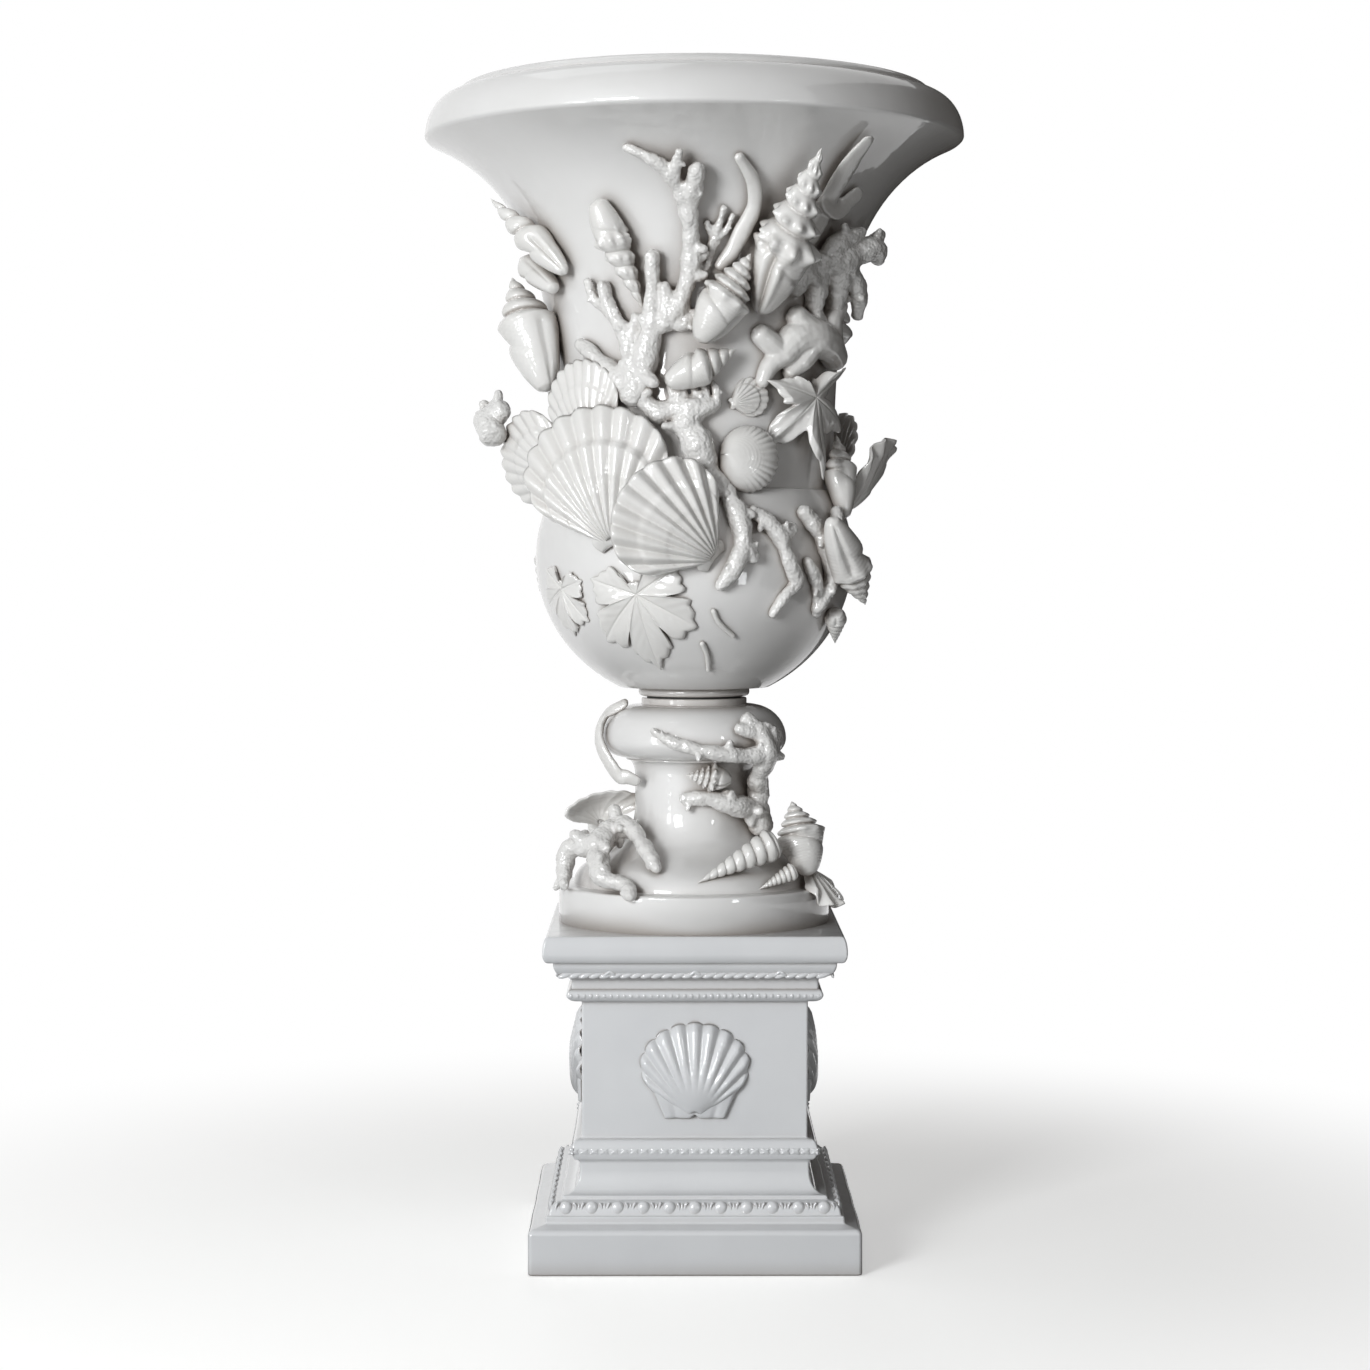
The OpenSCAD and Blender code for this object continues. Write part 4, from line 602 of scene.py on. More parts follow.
def spiral_shell(mesh, tip, end, girth, mould, seed):
    """Adds a spiral shell with rounded whorls, a shoulder, a mouth slit and a flared lip."""
    whorls, shoulder, swell, knobs, flare, canal, slit, threads = mould
    side, _, out = stance(tip, end)

    def place(u, s):
        above = s < shoulder
        up = np.clip(s / shoulder, 0, 1)
        down = np.clip((s - shoulder) / (1 - shoulder), 0, 1)
        taper = np.clip(np.cos(math.pi / 2 * down), 0, 1) ** 0.62
        body = np.where(above, up**0.9, canal + (1 - canal) * taper)
        in_whorl = (whorls * up**0.78 + 0.9 * down - u) % 1
        fade = np.where(above, 1, 1 - step_up(down, 0, 0.55))
        suture = hump(np.minimum(in_whorl, 1 - in_whorl), 0, 0.07)
        plump = swell * (np.sin(math.pi * in_whorl) ** 0.65 - 0.6)
        k = body * (1 + fade * (plump - 0.07 * suture))
        knob = (0.5 + 0.5 * np.cos(math.tau * SHOULDER_KNOBS * u)) ** 1.2
        belt = hump(s, shoulder, 0.045) * 1.5
        belt = np.maximum(belt, 1.1 * fade * hump(in_whorl, 0.55, 0.2) * above)
        k *= 1 + knobs * belt * knob
        k *= 1 + threads * np.cos(math.tau * np.where(above, 5 * in_whorl, 16 * down))
        opening = step_up(down, 0.0, 0.2) * (1 - step_up(down, 0.82, 1.0))
        k *= 1 - (0.04 + flare) * opening * hump(u, slit, 0.026)
        lip = 0.35 * hump(u, 0.5, 0.12) + 0.6 * hump(u - slit, 0.07, 0.03)
        k *= 1 + flare * np.sin(math.pi * down) * lip
        k *= round_off(1 - s, 0.03) * girth
        swing = math.tau * u
        spots = (tip + s[:, None] * (end - tip) + np.outer(k * np.cos(swing), side)
                 + np.outer(k * np.sin(swing), out))
        return spots + np.outer(ripple(spots, 24, seed) * 0.012 * k, out)

    bent_grid(mesh, *SHELL_GRID, place)


def scallop(mesh, hinge, margin, wide, rise, ribs, lean, kind, ears, seed):
    """Adds a ribbed fan from its hinge to the middle of its margin. A leaf is soft and folded, the
    ribs of a relief start further out, and a cockle is a dome with ribs near its margin."""
    side, along, out = stance(hinge, margin)
    c, s = math.cos(math.radians(lean)), math.sin(math.radians(lean))
    side, out = side * c - out * s, side * s + out * c
    length = np.linalg.norm(margin - hinge)
    leaf, cockle = kind == "leaf", kind == "cockle"
    spread, start, full = FAN_KINDS[kind]
    depth = RELIEF_DEPTH if kind == "relief" else RIB_DEPTH.get(ribs, 1.0)
    tall = 7.0 if leaf else min(6.0, wide * 0.052) * depth

    def reach(t):
        if cockle:
            return np.cos(np.radians(t)) ** 0.8
        return np.cos(np.radians(t)) ** 0.42 * (1 - 0.3 * (np.abs(t) / spread) ** 7)

    widest = max(reach(t) * math.sin(math.radians(t)) for t in np.linspace(0, spread, 60))

    def crown(t, s):
        edge = np.clip(np.cos(np.radians(90 * t / spread)), 0, 1) ** 0.55
        if cockle:
            return edge * np.sqrt(np.clip(1 - ((s - 0.42) / 0.585) ** 2, 0, 1)) * rise
        return edge * np.sin(math.pi * s**0.62) * rise

    def place(u, s, lift):
        t = spread * (2 * u - 1)
        rib = 0.5 - 0.5 * np.cos(math.tau * ribs * u * (2 if cockle else 1))
        rib = rib ** (1.0 if leaf else 0.6)
        if cockle:
            rib = rib * (1 - step_up(np.abs(t + 6), 34, 60))
        q = s if cockle else 0.07 + 0.93 * s
        up = crown(t, q) + 1.6 + tall * q**0.8 * (rib - 0.12) * step_up(q, start, full)
        if leaf:
            up = up + 4 * step_up(s, 0.8, 1) * np.sin(3.1 + 9 * u)
        else:
            up = up + 0.14 * np.sin(math.tau * 15 * q**1.4) * step_up(q, 0.2, 0.5)
        if kind == "relief":
            up = up - 2.6 * step_up(q, 0.9, 1)
        if kind == "fan":
            up = up - (6.0 if wide > GREAT_FAN else 1.2) * step_up(q, 0.735, 0.765)
            up = up + 0.006 * wide * step_up(q, 0.5, 0.52) - 0.5 * q
        far = reach(t) * (1 + (0.03 if leaf else 0.022) * (rib - 0.6) * q**5)
        spots = (hinge + np.outer(wide / 2 * q * far * np.sin(np.radians(t)) / widest, side)
                 + np.outer(length * q * far * np.cos(np.radians(t)), along))
        return spots + np.outer(up + ripple(spots, 55, seed) * 0.9 + lift, out)

    def ear(u, s, lift):
        x = (2 * u - 1) * (0.1 + 0.05 * np.sin(math.pi * s)) * wide
        y = (s * 0.17 + 0.02 - 0.03 * np.abs(2 * u - 1) ** 2) * length
        up = 1.4 + 0.55 * np.sin(math.tau * 7 * u) * s + crown(0, 0.02 + 0.18 * s) * 0.8
        up = up * np.clip(1.35 - np.abs(2 * u - 1), 0.25, 1) + lift
        return hinge + np.outer(x, side) + np.outer(y, along) + np.outer(up, out)

    sheet(mesh, ribs * STEPS_PER_RIB, FAN_STEPS, place, SHELL_T * 0.9 if leaf else SHELL_T)
    if ears:
        sheet(mesh, *EAR_GRID, ear, SHELL_T * 0.9)


def vine_leaf(mesh, spot, length, roll, curl, wave, stretch, seed):
    """Adds a five-lobed toothed leaf with incised veins, laid on the bowl's wall. A wavy one
    stands off the wall and has pointed lobes with wide gaps."""
    z0 = BOWL_Z + spot[1] * BOWL_H
    r0 = radius_at(z0) + spot[2] * RELIEF
    pointed, cut, gap_wide, plump = (0.42, 0.3, 5.0, 1.4) if wave else (0.17, 0.4, 2.6, 2.4)

    def place(u, s, lift):
        t = math.tau * u
        turn = (np.degrees(t) + 180) % 360 - 180
        lobe, slit = np.full_like(u, 0.3), np.zeros_like(u)
        aside, ahead = np.full_like(u, 99.0), np.zeros_like(u)
        for way, far, half in LOBES:
            gap = np.abs((turn - way + 180) % 360 - 180)
            tip = 0.98 - pointed + pointed * np.exp(-gap / 11)
            lobe = np.maximum(lobe, far * tip * (gap < half + 2))
            slit = np.maximum(slit, hump(gap, half, gap_wide))
            off_vein = np.sin(np.radians(np.minimum(gap, 90)))
            ahead = np.where(off_vein < aside, np.cos(np.radians(gap)), ahead)
            aside = np.minimum(aside, off_vein)
        tooth = np.abs((u * 28 + 0.5) % 1 - 0.5) * 2
        lobe = (lobe * (1 - cut * slit) * (1 - 0.06 * tooth**1.4 * step_up(s, 0.6, 1))
                * (1 + 0.24 * np.cos(t)))
        r = length * s * lobe
        aside, ahead = r * aside, r * ahead
        puff = plump * (1 - hump(aside, 0, 10)) * np.sin(math.pi * np.clip(s, 0, 1)) ** 0.5
        vein = hump(aside, 0, 1.1) * (1 - 0.6 * s)
        rung = np.sin(math.tau * (ahead - 1.1 * aside) / 12)
        puff = puff + 0.09 * rung * np.clip(aside / 4, 0, 1) * (1 - step_up(s, 0.8, 1))
        puff = puff + 3.4 * slit * s**2
        lie = spot[2] * RELIEF - SUNK + s * s * (curl + wave * np.cos(3 * t))
        if wave:
            lie = lie + s**2 * wave * np.cos(5 * t + 1.2)
            lie = lie - 5 * step_up(s, 0.8, 1) * np.cos(2 * t) ** 2
        else:
            lie = lie - 0.8 * step_up(s, 0.9, 1) + 1.2 * s**4 * np.cos(7 * t + seed)
        off = np.maximum(-SUNK, lie) + LEAF_T / 2 + 0.4 + puff - 1.1 * vein + lift
        a = t + math.radians(roll)
        x, y = r * np.sin(a), -stretch * r * np.cos(a)
        return on_skin(spot[0] + np.degrees(x / r0), z0 + y, off)

    sheet(mesh, *LEAF_GRID, place, LEAF_T, ring=True)


def add_nubs(mesh, rows, apart, dice):
    """Adds short side branches to a limb, about one for every so many of its rows."""
    last, steps = len(rows) - 1, max(1, int(len(rows) / apart))
    for k in range(steps):
        row = rows[min(last, int((k + 0.2 + 0.6 * dice.random()) * len(rows) / steps))]
        ahead = unit(rows[min(last, k * 3 + 1), :3] - rows[max(0, k * 3 - 1), :3] + 1e-6)
        out = unit(row[:3] * (1, 1, 0))
        side = unit(np.cross(out, ahead))
        way = unit(out * dice.uniform(0.1, 0.7) + side * dice.choice((-1, 1))
                   + ahead * dice.uniform(-0.3, 0.8))
        long = row[3] * dice.uniform(1.2, 2.1)
        thin = row[3] * dice.uniform(0.42, 0.6)
        nub = ((way * row[3] * 0.4, thin * 1.3), (way * long * 0.8, thin),
               (way * long, thin * 0.8))
        tube(mesh, np.array([[*(row[:3] + far), thick] for far, thick in nub]), NUB_SIDES)


def limbs_of(paths):
    """The paths with each number replaced by the stop that it counts."""
    stops = [stop for path in paths for stop in path if not isinstance(stop, int)]
    return tuple(tuple(stops[stop] if isinstance(stop, int) else stop for stop in path)
                 for path in paths)


def coral(mesh, node, paths, seed):
    """Adds the limbs of a coral along its paths, with nubs on the knobbly kinds."""
    dice = random.Random(seed)
    smooth = node in SMOOTH_CORALS
    for number, path in enumerate(limbs_of(paths) + MORE_BRANCHES.get(node, ())):
        stops = np.array([[*on_wall(node, stop), CORAL_R * stop[3] * FULLER.get(node, 1.05)]
                          for stop in path])
        rows = smooth_path(stops, 3)
        tube(mesh, rows, LIMB_SIDES, 0.03 if smooth else 0.1, seed + number * 1.7,
             FLATTENED.get(node, 1.0))
        if not smooth:
            add_nubs(mesh, rows, 9 if node.startswith("foot") else 15, dice)


def fuse(piece, voxel, grain, seed):
    """Melts the limbs of a piece into one skin and makes it uneven."""
    melt = piece.modifiers.new("Melted joints", "REMESH")
    melt.mode, melt.voxel_size, melt.use_smooth_shade = "VOXEL", voxel, True
    ease = piece.modifiers.new("Eased joints", "SMOOTH")
    ease.factor, ease.iterations = 0.5, 4
    view = bpy.context.evaluated_depsgraph_get()
    view.update()
    data = bpy.data.meshes.new_from_object(piece.evaluated_get(view))
    old, finish = piece.data, piece.data.materials[0]
    piece.modifiers.clear()
    co = np.empty(len(data.vertices) * 3)
    data.vertices.foreach_get("co", co)
    normals = np.empty(len(data.vertices) * 3)
    data.vertex_normals.foreach_get("vector", normals)
    spots, ways = co.reshape(-1, 3) / MM, normals.reshape(-1, 3)
    depth = grain * (ripple(spots, 13, seed) + 0.5 * (np.abs(ripple(spots, 9, seed + 1)) - 0.35)
                     + 0.45 * ripple(spots, 4.6, seed + 2))
    data.vertices.foreach_set("co", ((spots + depth[:, None] * ways) * MM).ravel())
    data.polygons.foreach_set("use_smooth", [True] * len(data.polygons))
    data.name = old.name + "_melted"
    piece.data = data
    bpy.data.meshes.remove(old)
    if not data.materials:
        data.materials.append(finish)


def add_node(tree, kind, inputs=None, **settings):
    """One shader node with its settings. An input is a value, an output, or a node whose first
    output is meant."""
    node = tree.nodes.new("ShaderNode" + kind)
    for name, value in settings.items():
        setattr(node, name, value)
    for name, value in (inputs or {}).items():
        if isinstance(value, bpy.types.Node):
            value = value.outputs[0]
        if isinstance(value, bpy.types.NodeSocket):
            tree.links.new(value, node.inputs[name])
        else:
            node.inputs[name].default_value = value
    return node


def blend(tree, share, low, high):
    """Colour that goes from low to high with the share."""
    return add_node(tree, "Mix", {0: share, 6: low, 7: high}, data_type="RGBA").outputs[2]


def add_bump(tree, height, strength, deep, below=None, invert=False):
    """Relief of up to deep metres, over the relief below it."""
    inputs = {"Height": height, "Strength": strength, "Distance": deep}
    if below is not None:
        inputs["Normal"] = below
    return add_node(tree, "Bump", inputs, invert=invert)


def principled(tree, inputs):
    shader = add_node(tree, "BsdfPrincipled", inputs)
    add_node(tree, "OutputMaterial", {"Surface": shader})


def linear(code):
    """Linear colour of an sRGB hex code."""
    parts = [int(code[i:i + 2], 16) / 255 for i in (1, 3, 5)]
    return [p / 12.92 if p <= 0.04045 else ((p + 0.055) / 1.055) ** 2.4 for p in parts] + [1]


def new_finish(name):
    finish = bpy.data.materials.new(name)
    finish.use_nodes = True
    tree = finish.node_tree
    tree.nodes.clear()
    place = add_node(tree, "TexCoord").outputs["Object"]
    return finish, tree, place


def tin_glaze(name, body, pooled, grain, grain_size):
    """Opaque white tin glaze over earthenware: a soft white body under a clear, wet-looking coat.
    It pools a little darker, is duller in creases, slightly wavy, and has fine pinholes."""
    finish, tree, place = new_finish(name)
    cloud = add_node(tree, "TexNoise", {"Vector": place, "Scale": 14, "Detail": 3})
    pits = add_node(tree, "TexVoronoi", {"Vector": place, "Scale": 90})
    pin = add_node(tree, "MapRange", {"Value": pits, "From Min": 0.03, "From Max": 0.07})
    colour = blend(tree, cloud, linear(pooled), linear(body))
    # Painted shade: the colour turns warm grey (#9A928B) in creases, hollows and where pieces meet
    # the wall, wherever ambient occlusion finds them shaded
    crease_shade_ao = add_node(tree, "AmbientOcclusion", {"Distance": 0.03}, samples=6)
    unshaded_share = add_node(tree, "MapRange",
                        {"Value": crease_shade_ao.outputs["AO"], "From Min": 0.2, "From Max": 0.8})
    colour = blend(tree, unshaded_share, linear("#9A928B"), colour)
    wave = add_node(tree, "TexNoise", {"Vector": place, "Scale": 45, "Detail": 2})
    bump = add_bump(tree, pin, 0.15, 0.0003, add_bump(tree, wave, 0.25, 0.0012))
    if grain:
        cells = add_node(tree, "TexVoronoi", {"Vector": place, "Scale": 1000 / grain_size,
                                              "Smoothness": 0.4}, feature="SMOOTH_F1")
        bump = add_bump(tree, cells, grain, 0.0016, bump, invert=True)
    principled(tree, {"Base Color": colour, "Roughness": 0.42, "Specular IOR Level": 0.35,
                      "Coat Weight": 1.0, "Coat Roughness": 0.035, "Coat IOR": 1.5,
                      "Normal": bump, "Coat Normal": bump})
    return finish


def zinc_steel():
    """Zinc-plated steel of the threaded rod, its nuts and washers, with a dull turned grain."""
    finish, tree, place = new_finish("Zinc plated steel")
    grain = add_node(tree, "TexNoise", {"Vector": place, "Scale": 600, "Detail": 4})
    rough = add_node(tree, "MapRange", {"Value": grain, "To Min": 0.28, "To Max": 0.5})
    principled(tree, {"Base Color": linear("#A9ACAE"), "Metallic": 1.0, "Roughness": rough,
                      "Normal": add_bump(tree, grain, 0.2, 0.0002)})
    return finish


def pad_rubber():
    """Matt black rubber of the gasket and pads, slightly dusty."""
    finish, tree, place = new_finish("Black pad rubber")
    dust = add_node(tree, "TexNoise", {"Vector": place, "Scale": 120, "Detail": 5})
    principled(tree, {"Base Color": blend(tree, dust, linear("#2A2A29"), linear("#454543")),
                      "Roughness": 0.75, "Normal": add_bump(tree, dust, 0.3, 0.0003)})
    return finish


def floor_paint():
    """Floor that keeps the shadow near the middle and turns white further away, for the camera and
    in reflections."""
    paint, tree, place = new_finish("Pale studio floor")
    away = add_node(tree, "VectorMath", {0: place}, operation="LENGTH")
    fade = add_node(tree, "MapRange",
                    {"Value": away.outputs["Value"], "From Min": 0.45, "From Max": 1.3},
                    interpolation_type="SMOOTHSTEP")
    path = add_node(tree, "LightPath").outputs
    seen = add_node(tree, "Math", {0: path["Is Camera Ray"], 1: path["Is Glossy Ray"]},
                    operation="MAXIMUM")
    share = add_node(tree, "Math", {0: seen, 1: fade}, operation="MULTIPLY")
    matt = add_node(tree, "BsdfDiffuse", {"Color": linear("#8E8E8D")})
    pale = add_node(tree, "BsdfDiffuse", {"Color": linear("#F4F4F2")})
    glow = add_node(tree, "Emission", {"Strength": 0.45})
    lit = add_node(tree, "AddShader", {0: pale, 1: glow})
    near = add_node(tree, "MixShader", {0: path["Is Camera Ray"], 1: matt, 2: lit})
    white = add_node(tree, "Emission", {"Strength": 1.0})
    mix = add_node(tree, "MixShader", {0: share, 1: near, 2: white})
    add_node(tree, "OutputMaterial", {"Surface": mix})
    return paint


def dark_cloth():
    """Dark cloth that stands beside the vase and shades its right side."""
    cloth, tree, place = new_finish("Dark studio cloth")
    weave = add_node(tree, "TexNoise", {"Vector": place, "Scale": 400})
    rough = add_node(tree, "MapRange", {"Value": weave, "To Min": 0.8, "To Max": 1.0})
    principled(tree, {"Base Color": linear("#38332F"), "Roughness": rough})
    return cloth


FINISHES = {}


def finish_of(kind):
    """Each finish is made once, when the first piece asks for it."""
    if kind not in FINISHES:
        if kind in GLAZES:
            FINISHES[kind] = tin_glaze(*GLAZES[kind])
        else:
            FINISHES[kind] = {"steel": zinc_steel, "rubber": pad_rubber}[kind]()
    return FINISHES[kind]


def square_at(u, half, corner):
    """Places round a square with small round corners, from the share u of the way round."""
    side = np.floor(u * 4).astype(int) % 4
    w = (u * 4) % 1
    a = np.where(w < 0.1, -45 + w * 450, np.where(w > 0.9, (w - 0.9) * 450, 0))
    flat = np.clip((w - 0.1) / 0.8, 0, 1)
    corner = np.minimum(corner, half * 0.9)
    x = (2 * flat - 1) * (half - corner) + np.sin(np.radians(a)) * corner
    y = -(half - corner) - np.cos(np.radians(a)) * corner
    turn = side * math.pi / 2
    return x * np.cos(turn) - y * np.sin(turn), x * np.sin(turn) + y * np.cos(turn)


def build_pedestal():
    """Hollow square pedestal with its mouldings, soft at every edge."""
    half, dado, cap = PLINTH_W / 2, DADO_W / 2, CAP_W / 2
    roof, hollow = PEDESTAL_H - PEDESTAL_WALL, half - PEDESTAL_WALL - 10
    side = [(0, roof), (dado - PEDESTAL_WALL, roof),
            (dado - PEDESTAL_WALL, PLINTH_H - PEDESTAL_WALL), (hollow, PLINTH_H - PEDESTAL_WALL),
            (hollow, 0), (half, 0), (half, PLINTH_H - PLINTH_ROUND)]
    side += bend((half, PLINTH_H - PLINTH_ROUND), (half - PLINTH_ROUND, PLINTH_H), 1)
    side += outline(BASE_MOULD, (dado, PLINTH_H), (half - dado, BASE_MOULD_H))
    side += outline(CAP_MOULD, (dado, PEDESTAL_H - CAP_H), (cap - dado, CAP_H))
    line = np.array(soften(side + [(0, PEDESTAL_H)], MOULD_SOFT))
    steps = len(line) - 1

    def place(u, v):
        h, z = (np.interp(v * steps, np.arange(steps + 1), line[:, k]) for k in (0, 1))
        x, y = square_at(u, h, np.where(z > PLINTH_H, MOULD_SOFT, PLINTH_SOFT))
        spots = np.stack([x, y, z], -1)
        sway = ripple(spots, 130, 5) * 0.45 * step_up(z, 4, 30) * (1 - step_up(z, 330, 343))
        return spots * np.stack([1 - sway / 170, 1 - sway / 170, np.ones_like(z)], -1)

    mesh = bmesh.new()
    bent_grid(mesh, 160, steps, place)
    weigh_normals(pedestal_piece(mesh, "glazed_pedestal", "pedestal"))


def four_sides(spots):
    """Turns each (x, half width, z) into placing matrices on the four sides."""
    for side in range(4):
        turn = Matrix.Rotation(side * math.pi / 2, 4, "Z")
        for x, half, z in spots:
            yield turn @ Matrix.Translation(Vector((x, -half, z)) * MM)


def drop(mesh, matrix, sizes, parts, tilt=0.0, lean=0.0):
    """Adds a small rounded bead or leaf with half sizes in millimetres, tilted on the wall."""
    shape = (matrix @ Matrix.Rotation(math.radians(lean), 4, "X")
             @ Matrix.Rotation(math.radians(tilt), 4, "Y")
             @ Matrix.Diagonal([s * MM for s in sizes] + [1]))
    bmesh.ops.create_uvsphere(mesh, u_segments=parts[0], v_segments=parts[1], radius=1,
                              matrix=shape)


def build_pedestal_trim():
    """Egg and dart, bound laurel rolls and bead rows, pressed in moulds and stuck on."""
    eggs = bmesh.new()
    for matrix in four_sides([((k - 5) * EGG_PITCH, *EGG_ROW) for k in range(11)]):
        drop(eggs, matrix, (7.2, 4.6, 7.6), (16, 10))
        rim = np.array([[math.sin(t) * 10.4, -0.6 - 0.9 * math.cos(t / 2), 0.8 - math.cos(t) * 8.6]
                        for t in np.linspace(-2.2, 2.2, 13)])
        tube(eggs, np.array([[*((matrix @ Vector(row * MM)) / MM), 1.5] for row in rim]), 6)
    for matrix in four_sides([((k - 4.5) * EGG_PITCH, *DART_ROW) for k in range(10)]):
        drop(eggs, matrix, (1.9, 2.4, 7.4), (8, 8))
    pedestal_piece(eggs, "egg_and_dart")

    roll = bmesh.new()
    half, z = CAP_ROLL
    for sign in (-1, 1):
        row = [(x, half - sign * 0.6, z + sign * 3.2) for x in np.arange(-131.7, 132, 10.54)]
        for matrix in four_sides(row):
            drop(roll, matrix, (9.4, 2.0, 3.3), (10, 6), sign * 20, sign * 18)
    for matrix in four_sides([(x, *CAP_TIES) for x in (-87, 0, 87)]):
        for tilt in (-36, 36):
            drop(roll, matrix, (9.5, 2.8, 2.6), (12, 6), tilt)
    for matrix in four_sides([(x, *BASE_ROLL) for x in np.arange(-124, 125, 10.33)]):
        for tilt in (-30, 30):
            drop(roll, matrix, (6.4, 2.0, 2.6), (8, 6), tilt)
    pedestal_piece(roll, "bound_laurel_rolls")

    beads = bmesh.new()
    for matrix in four_sides([(x, *BEAD_ROW) for x in np.linspace(-127, 127, 38)]):
        drop(beads, matrix, (3.0, 2.9, 3.1), (10, 6))
    pedestal_piece(beads, "bead_row")


def build_pedestal_scallops():
    """One moulded scallop on each face of the dado, its hinge and square ears below."""
    z = PLINTH_H + BASE_MOULD_H + DADO_H * 0.2
    face = DADO_W / 2 + 0.1

    def plate(u, s, lift):
        w = 2 * u - 1
        x = w * (0.27 + 0.13 * s) * RELIEF_SHELL_W
        notch = 3.5 * hump(w, 0, 0.1) * (1 - s)
        up = 3.4 + 5.5 * np.cos(math.pi / 2 * w) ** 0.8 * s**0.8 + lift
        up = up - 1.6 * hump(np.abs(w), 0.62, 0.1) * (1 - s)
        return np.stack([x, -face - up, z - 7.5 + notch + s * 34], -1)

    for turn, name in enumerate(("front", "right", "back", "left")):
        mesh = bmesh.new()
        scallop(mesh, np.array([0, -face, z - 7]), np.array([0, -face, z + RELIEF_SHELL_H]),
                RELIEF_SHELL_W, RELIEF_SHELL_RISE - SHELL_T, RELIEF_RIBS, 0, "relief", False, turn)
        sheet(mesh, *PLATE_GRID, plate, 5.5)
        bmesh.ops.rotate(mesh, verts=mesh.verts, cent=(0, 0, 0),
                         matrix=Matrix.Rotation(turn * math.pi / 2, 3, "Z"))
        pedestal_piece(mesh, "moulded_scallop_" + name, "pedestal_scallop_" + name)


def spin_wall(line, name, node):
    """Spins a closed outline into a thrown and glazed wall."""
    mesh = bmesh.new()
    line = soften(line + line[:1], WALL_SOFT)[:-1]
    verts = [mesh.verts.new((r * MM, 0, z * MM)) for r, z in line]
    edges = [mesh.edges.new((verts[k - 1], verts[k])) for k in range(len(verts))]
    bmesh.ops.spin(mesh, geom=verts + edges, cent=(0, 0, 0), axis=(0, 0, 1), dvec=(0, 0, 0),
                   angle=math.tau, steps=SPIN_STEPS, use_merge=True, use_duplicate=False)
    spots = np.array([vert.co for vert in mesh.verts]) / MM
    sway = 1 - ripple(spots, 190, 3) * 0.0016
    spots[:, :2] *= np.minimum(sway, 1.0)[:, None]
    for vert, spot in zip(mesh.verts, (spots * MM).tolist()):
        vert.co = spot
    weigh_normals(vase_piece(mesh, name, node, "wall"))


def build_foot():
    low, waist, high = RING_H + 1, FOOT_H * WAIST_AT, FOOT_H * STEM_AT
    stem, room = (WAIST_R - FOOT_WALL, high), (CUSHION_R - 2 * FOOT_WALL, FOOT_H * FULL_AT)
    inner = [(RING_R - TREAD_W, 0), (RING_R - TREAD_W, RING_H * 0.5)]
    inner += curve((BELL_R - FOOT_WALL, low), (BELL_R * 0.8, low + RING_H * 0.5),
                   (WAIST_R - FOOT_WALL, low + RING_H * 0.1), (WAIST_R - FOOT_WALL, waist))
    inner += [stem] + bend(stem, room, 1) + bend(room, (WEB_R, WEB_Z - PEDESTAL_H), 1)
    inner = [(r, z + PEDESTAL_H) for r, z in inner]
    inner += [(HOLE_R, WEB_Z), (HOLE_R, PEDESTAL_H + FOOT_H)]
    spin_wall(foot_outside() + inner[::-1], "glazed_foot", "foot")


def build_bowl():
    heights = FLOOR_Z + (LEDGE_Z - FLOOR_Z) * (np.arange(33) / 32) ** 1.2
    inner = [(bulb_at(z, BOWL_WALL), z) for z in heights]
    rise = LIP_Z - LEDGE_Z
    inner += curve((THROAT_R - BOWL_WALL, LEDGE_Z + BOWL_WALL),
                   (THROAT_R - BOWL_WALL * 0.2, LEDGE_Z + rise * 0.384),
                   (THROAT_R * 0.85, LEDGE_Z + rise * 0.88),
                   (MOUTH_R - BOWL_WALL * 0.6, TOP_Z - BOWL_WALL))
    inner.append((MOUTH_R - BOWL_WALL * 0.3, TOP_Z))
    lip = [(LIP_R, LIP_Z + LIP_LAP)]
    lip += bend((LIP_R, LIP_Z + LIP_LAP), (MOUTH_R + ROLL_OUT, TOP_Z - STEP_H), 1, 20)
    step = (MOUTH_R + STEP_OUT, TOP_Z - STEP_H)
    lip += [step] + bend(step, (MOUTH_R, TOP_Z), 1)
    line = [(HOLE_R, BOWL_Z)] + bowl_outside() + lip + inner[::-1] + [(HOLE_R, FLOOR_Z)]
    spin_wall(line, "glazed_bowl", "bowl")


def build_spiral_shells():
    for seed, (name, tip, end, girth, mould) in enumerate(SPIRAL_SHELLS):
        node, mesh = node_of(name), bmesh.new()
        spiral_shell(mesh, on_wall(node, tip), on_wall(node, end), girth, MOULDS[mould], seed)
        vase_piece(mesh, name + "_glazed", node, "shell")


def build_fans():
    for seed, (name, hinge, margin, *shape) in enumerate(FANS):
        node, mesh = node_of(name), bmesh.new()
        kind = "leaf" if node.endswith("leaf") else "cockle" if node == "cockle_shell" else "fan"
        ears = kind == "fan" and node != "foot_dish_shell"
        scallop(mesh, on_wall(node, hinge), on_wall(node, margin), *shape, kind, ears, 20 + seed)
        vase_piece(mesh, name + "_glazed", node, "leaf" if kind == "leaf" else "shell")


def build_corals():
    for seed, (name, paths) in enumerate(CORALS.items()):
        node, mesh = node_of(name), bmesh.new()
        coral(mesh, node, paths, 40 + seed)
        smooth = node in SMOOTH_CORALS
        piece = vase_piece(mesh, name + "_glazed", node, "shell" if smooth else "coral")
        fuse(piece, VOXELS[len(paths) >= MANY_LIMBS], CORAL_GRAIN[not smooth], 60 + seed)


def build_leaves():
    for seed, (name, *shape) in enumerate(LEAVES):
        mesh = bmesh.new()
        vine_leaf(mesh, *shape, seed)
        vase_piece(mesh, name + "_glazed", node_of(name), "leaf")


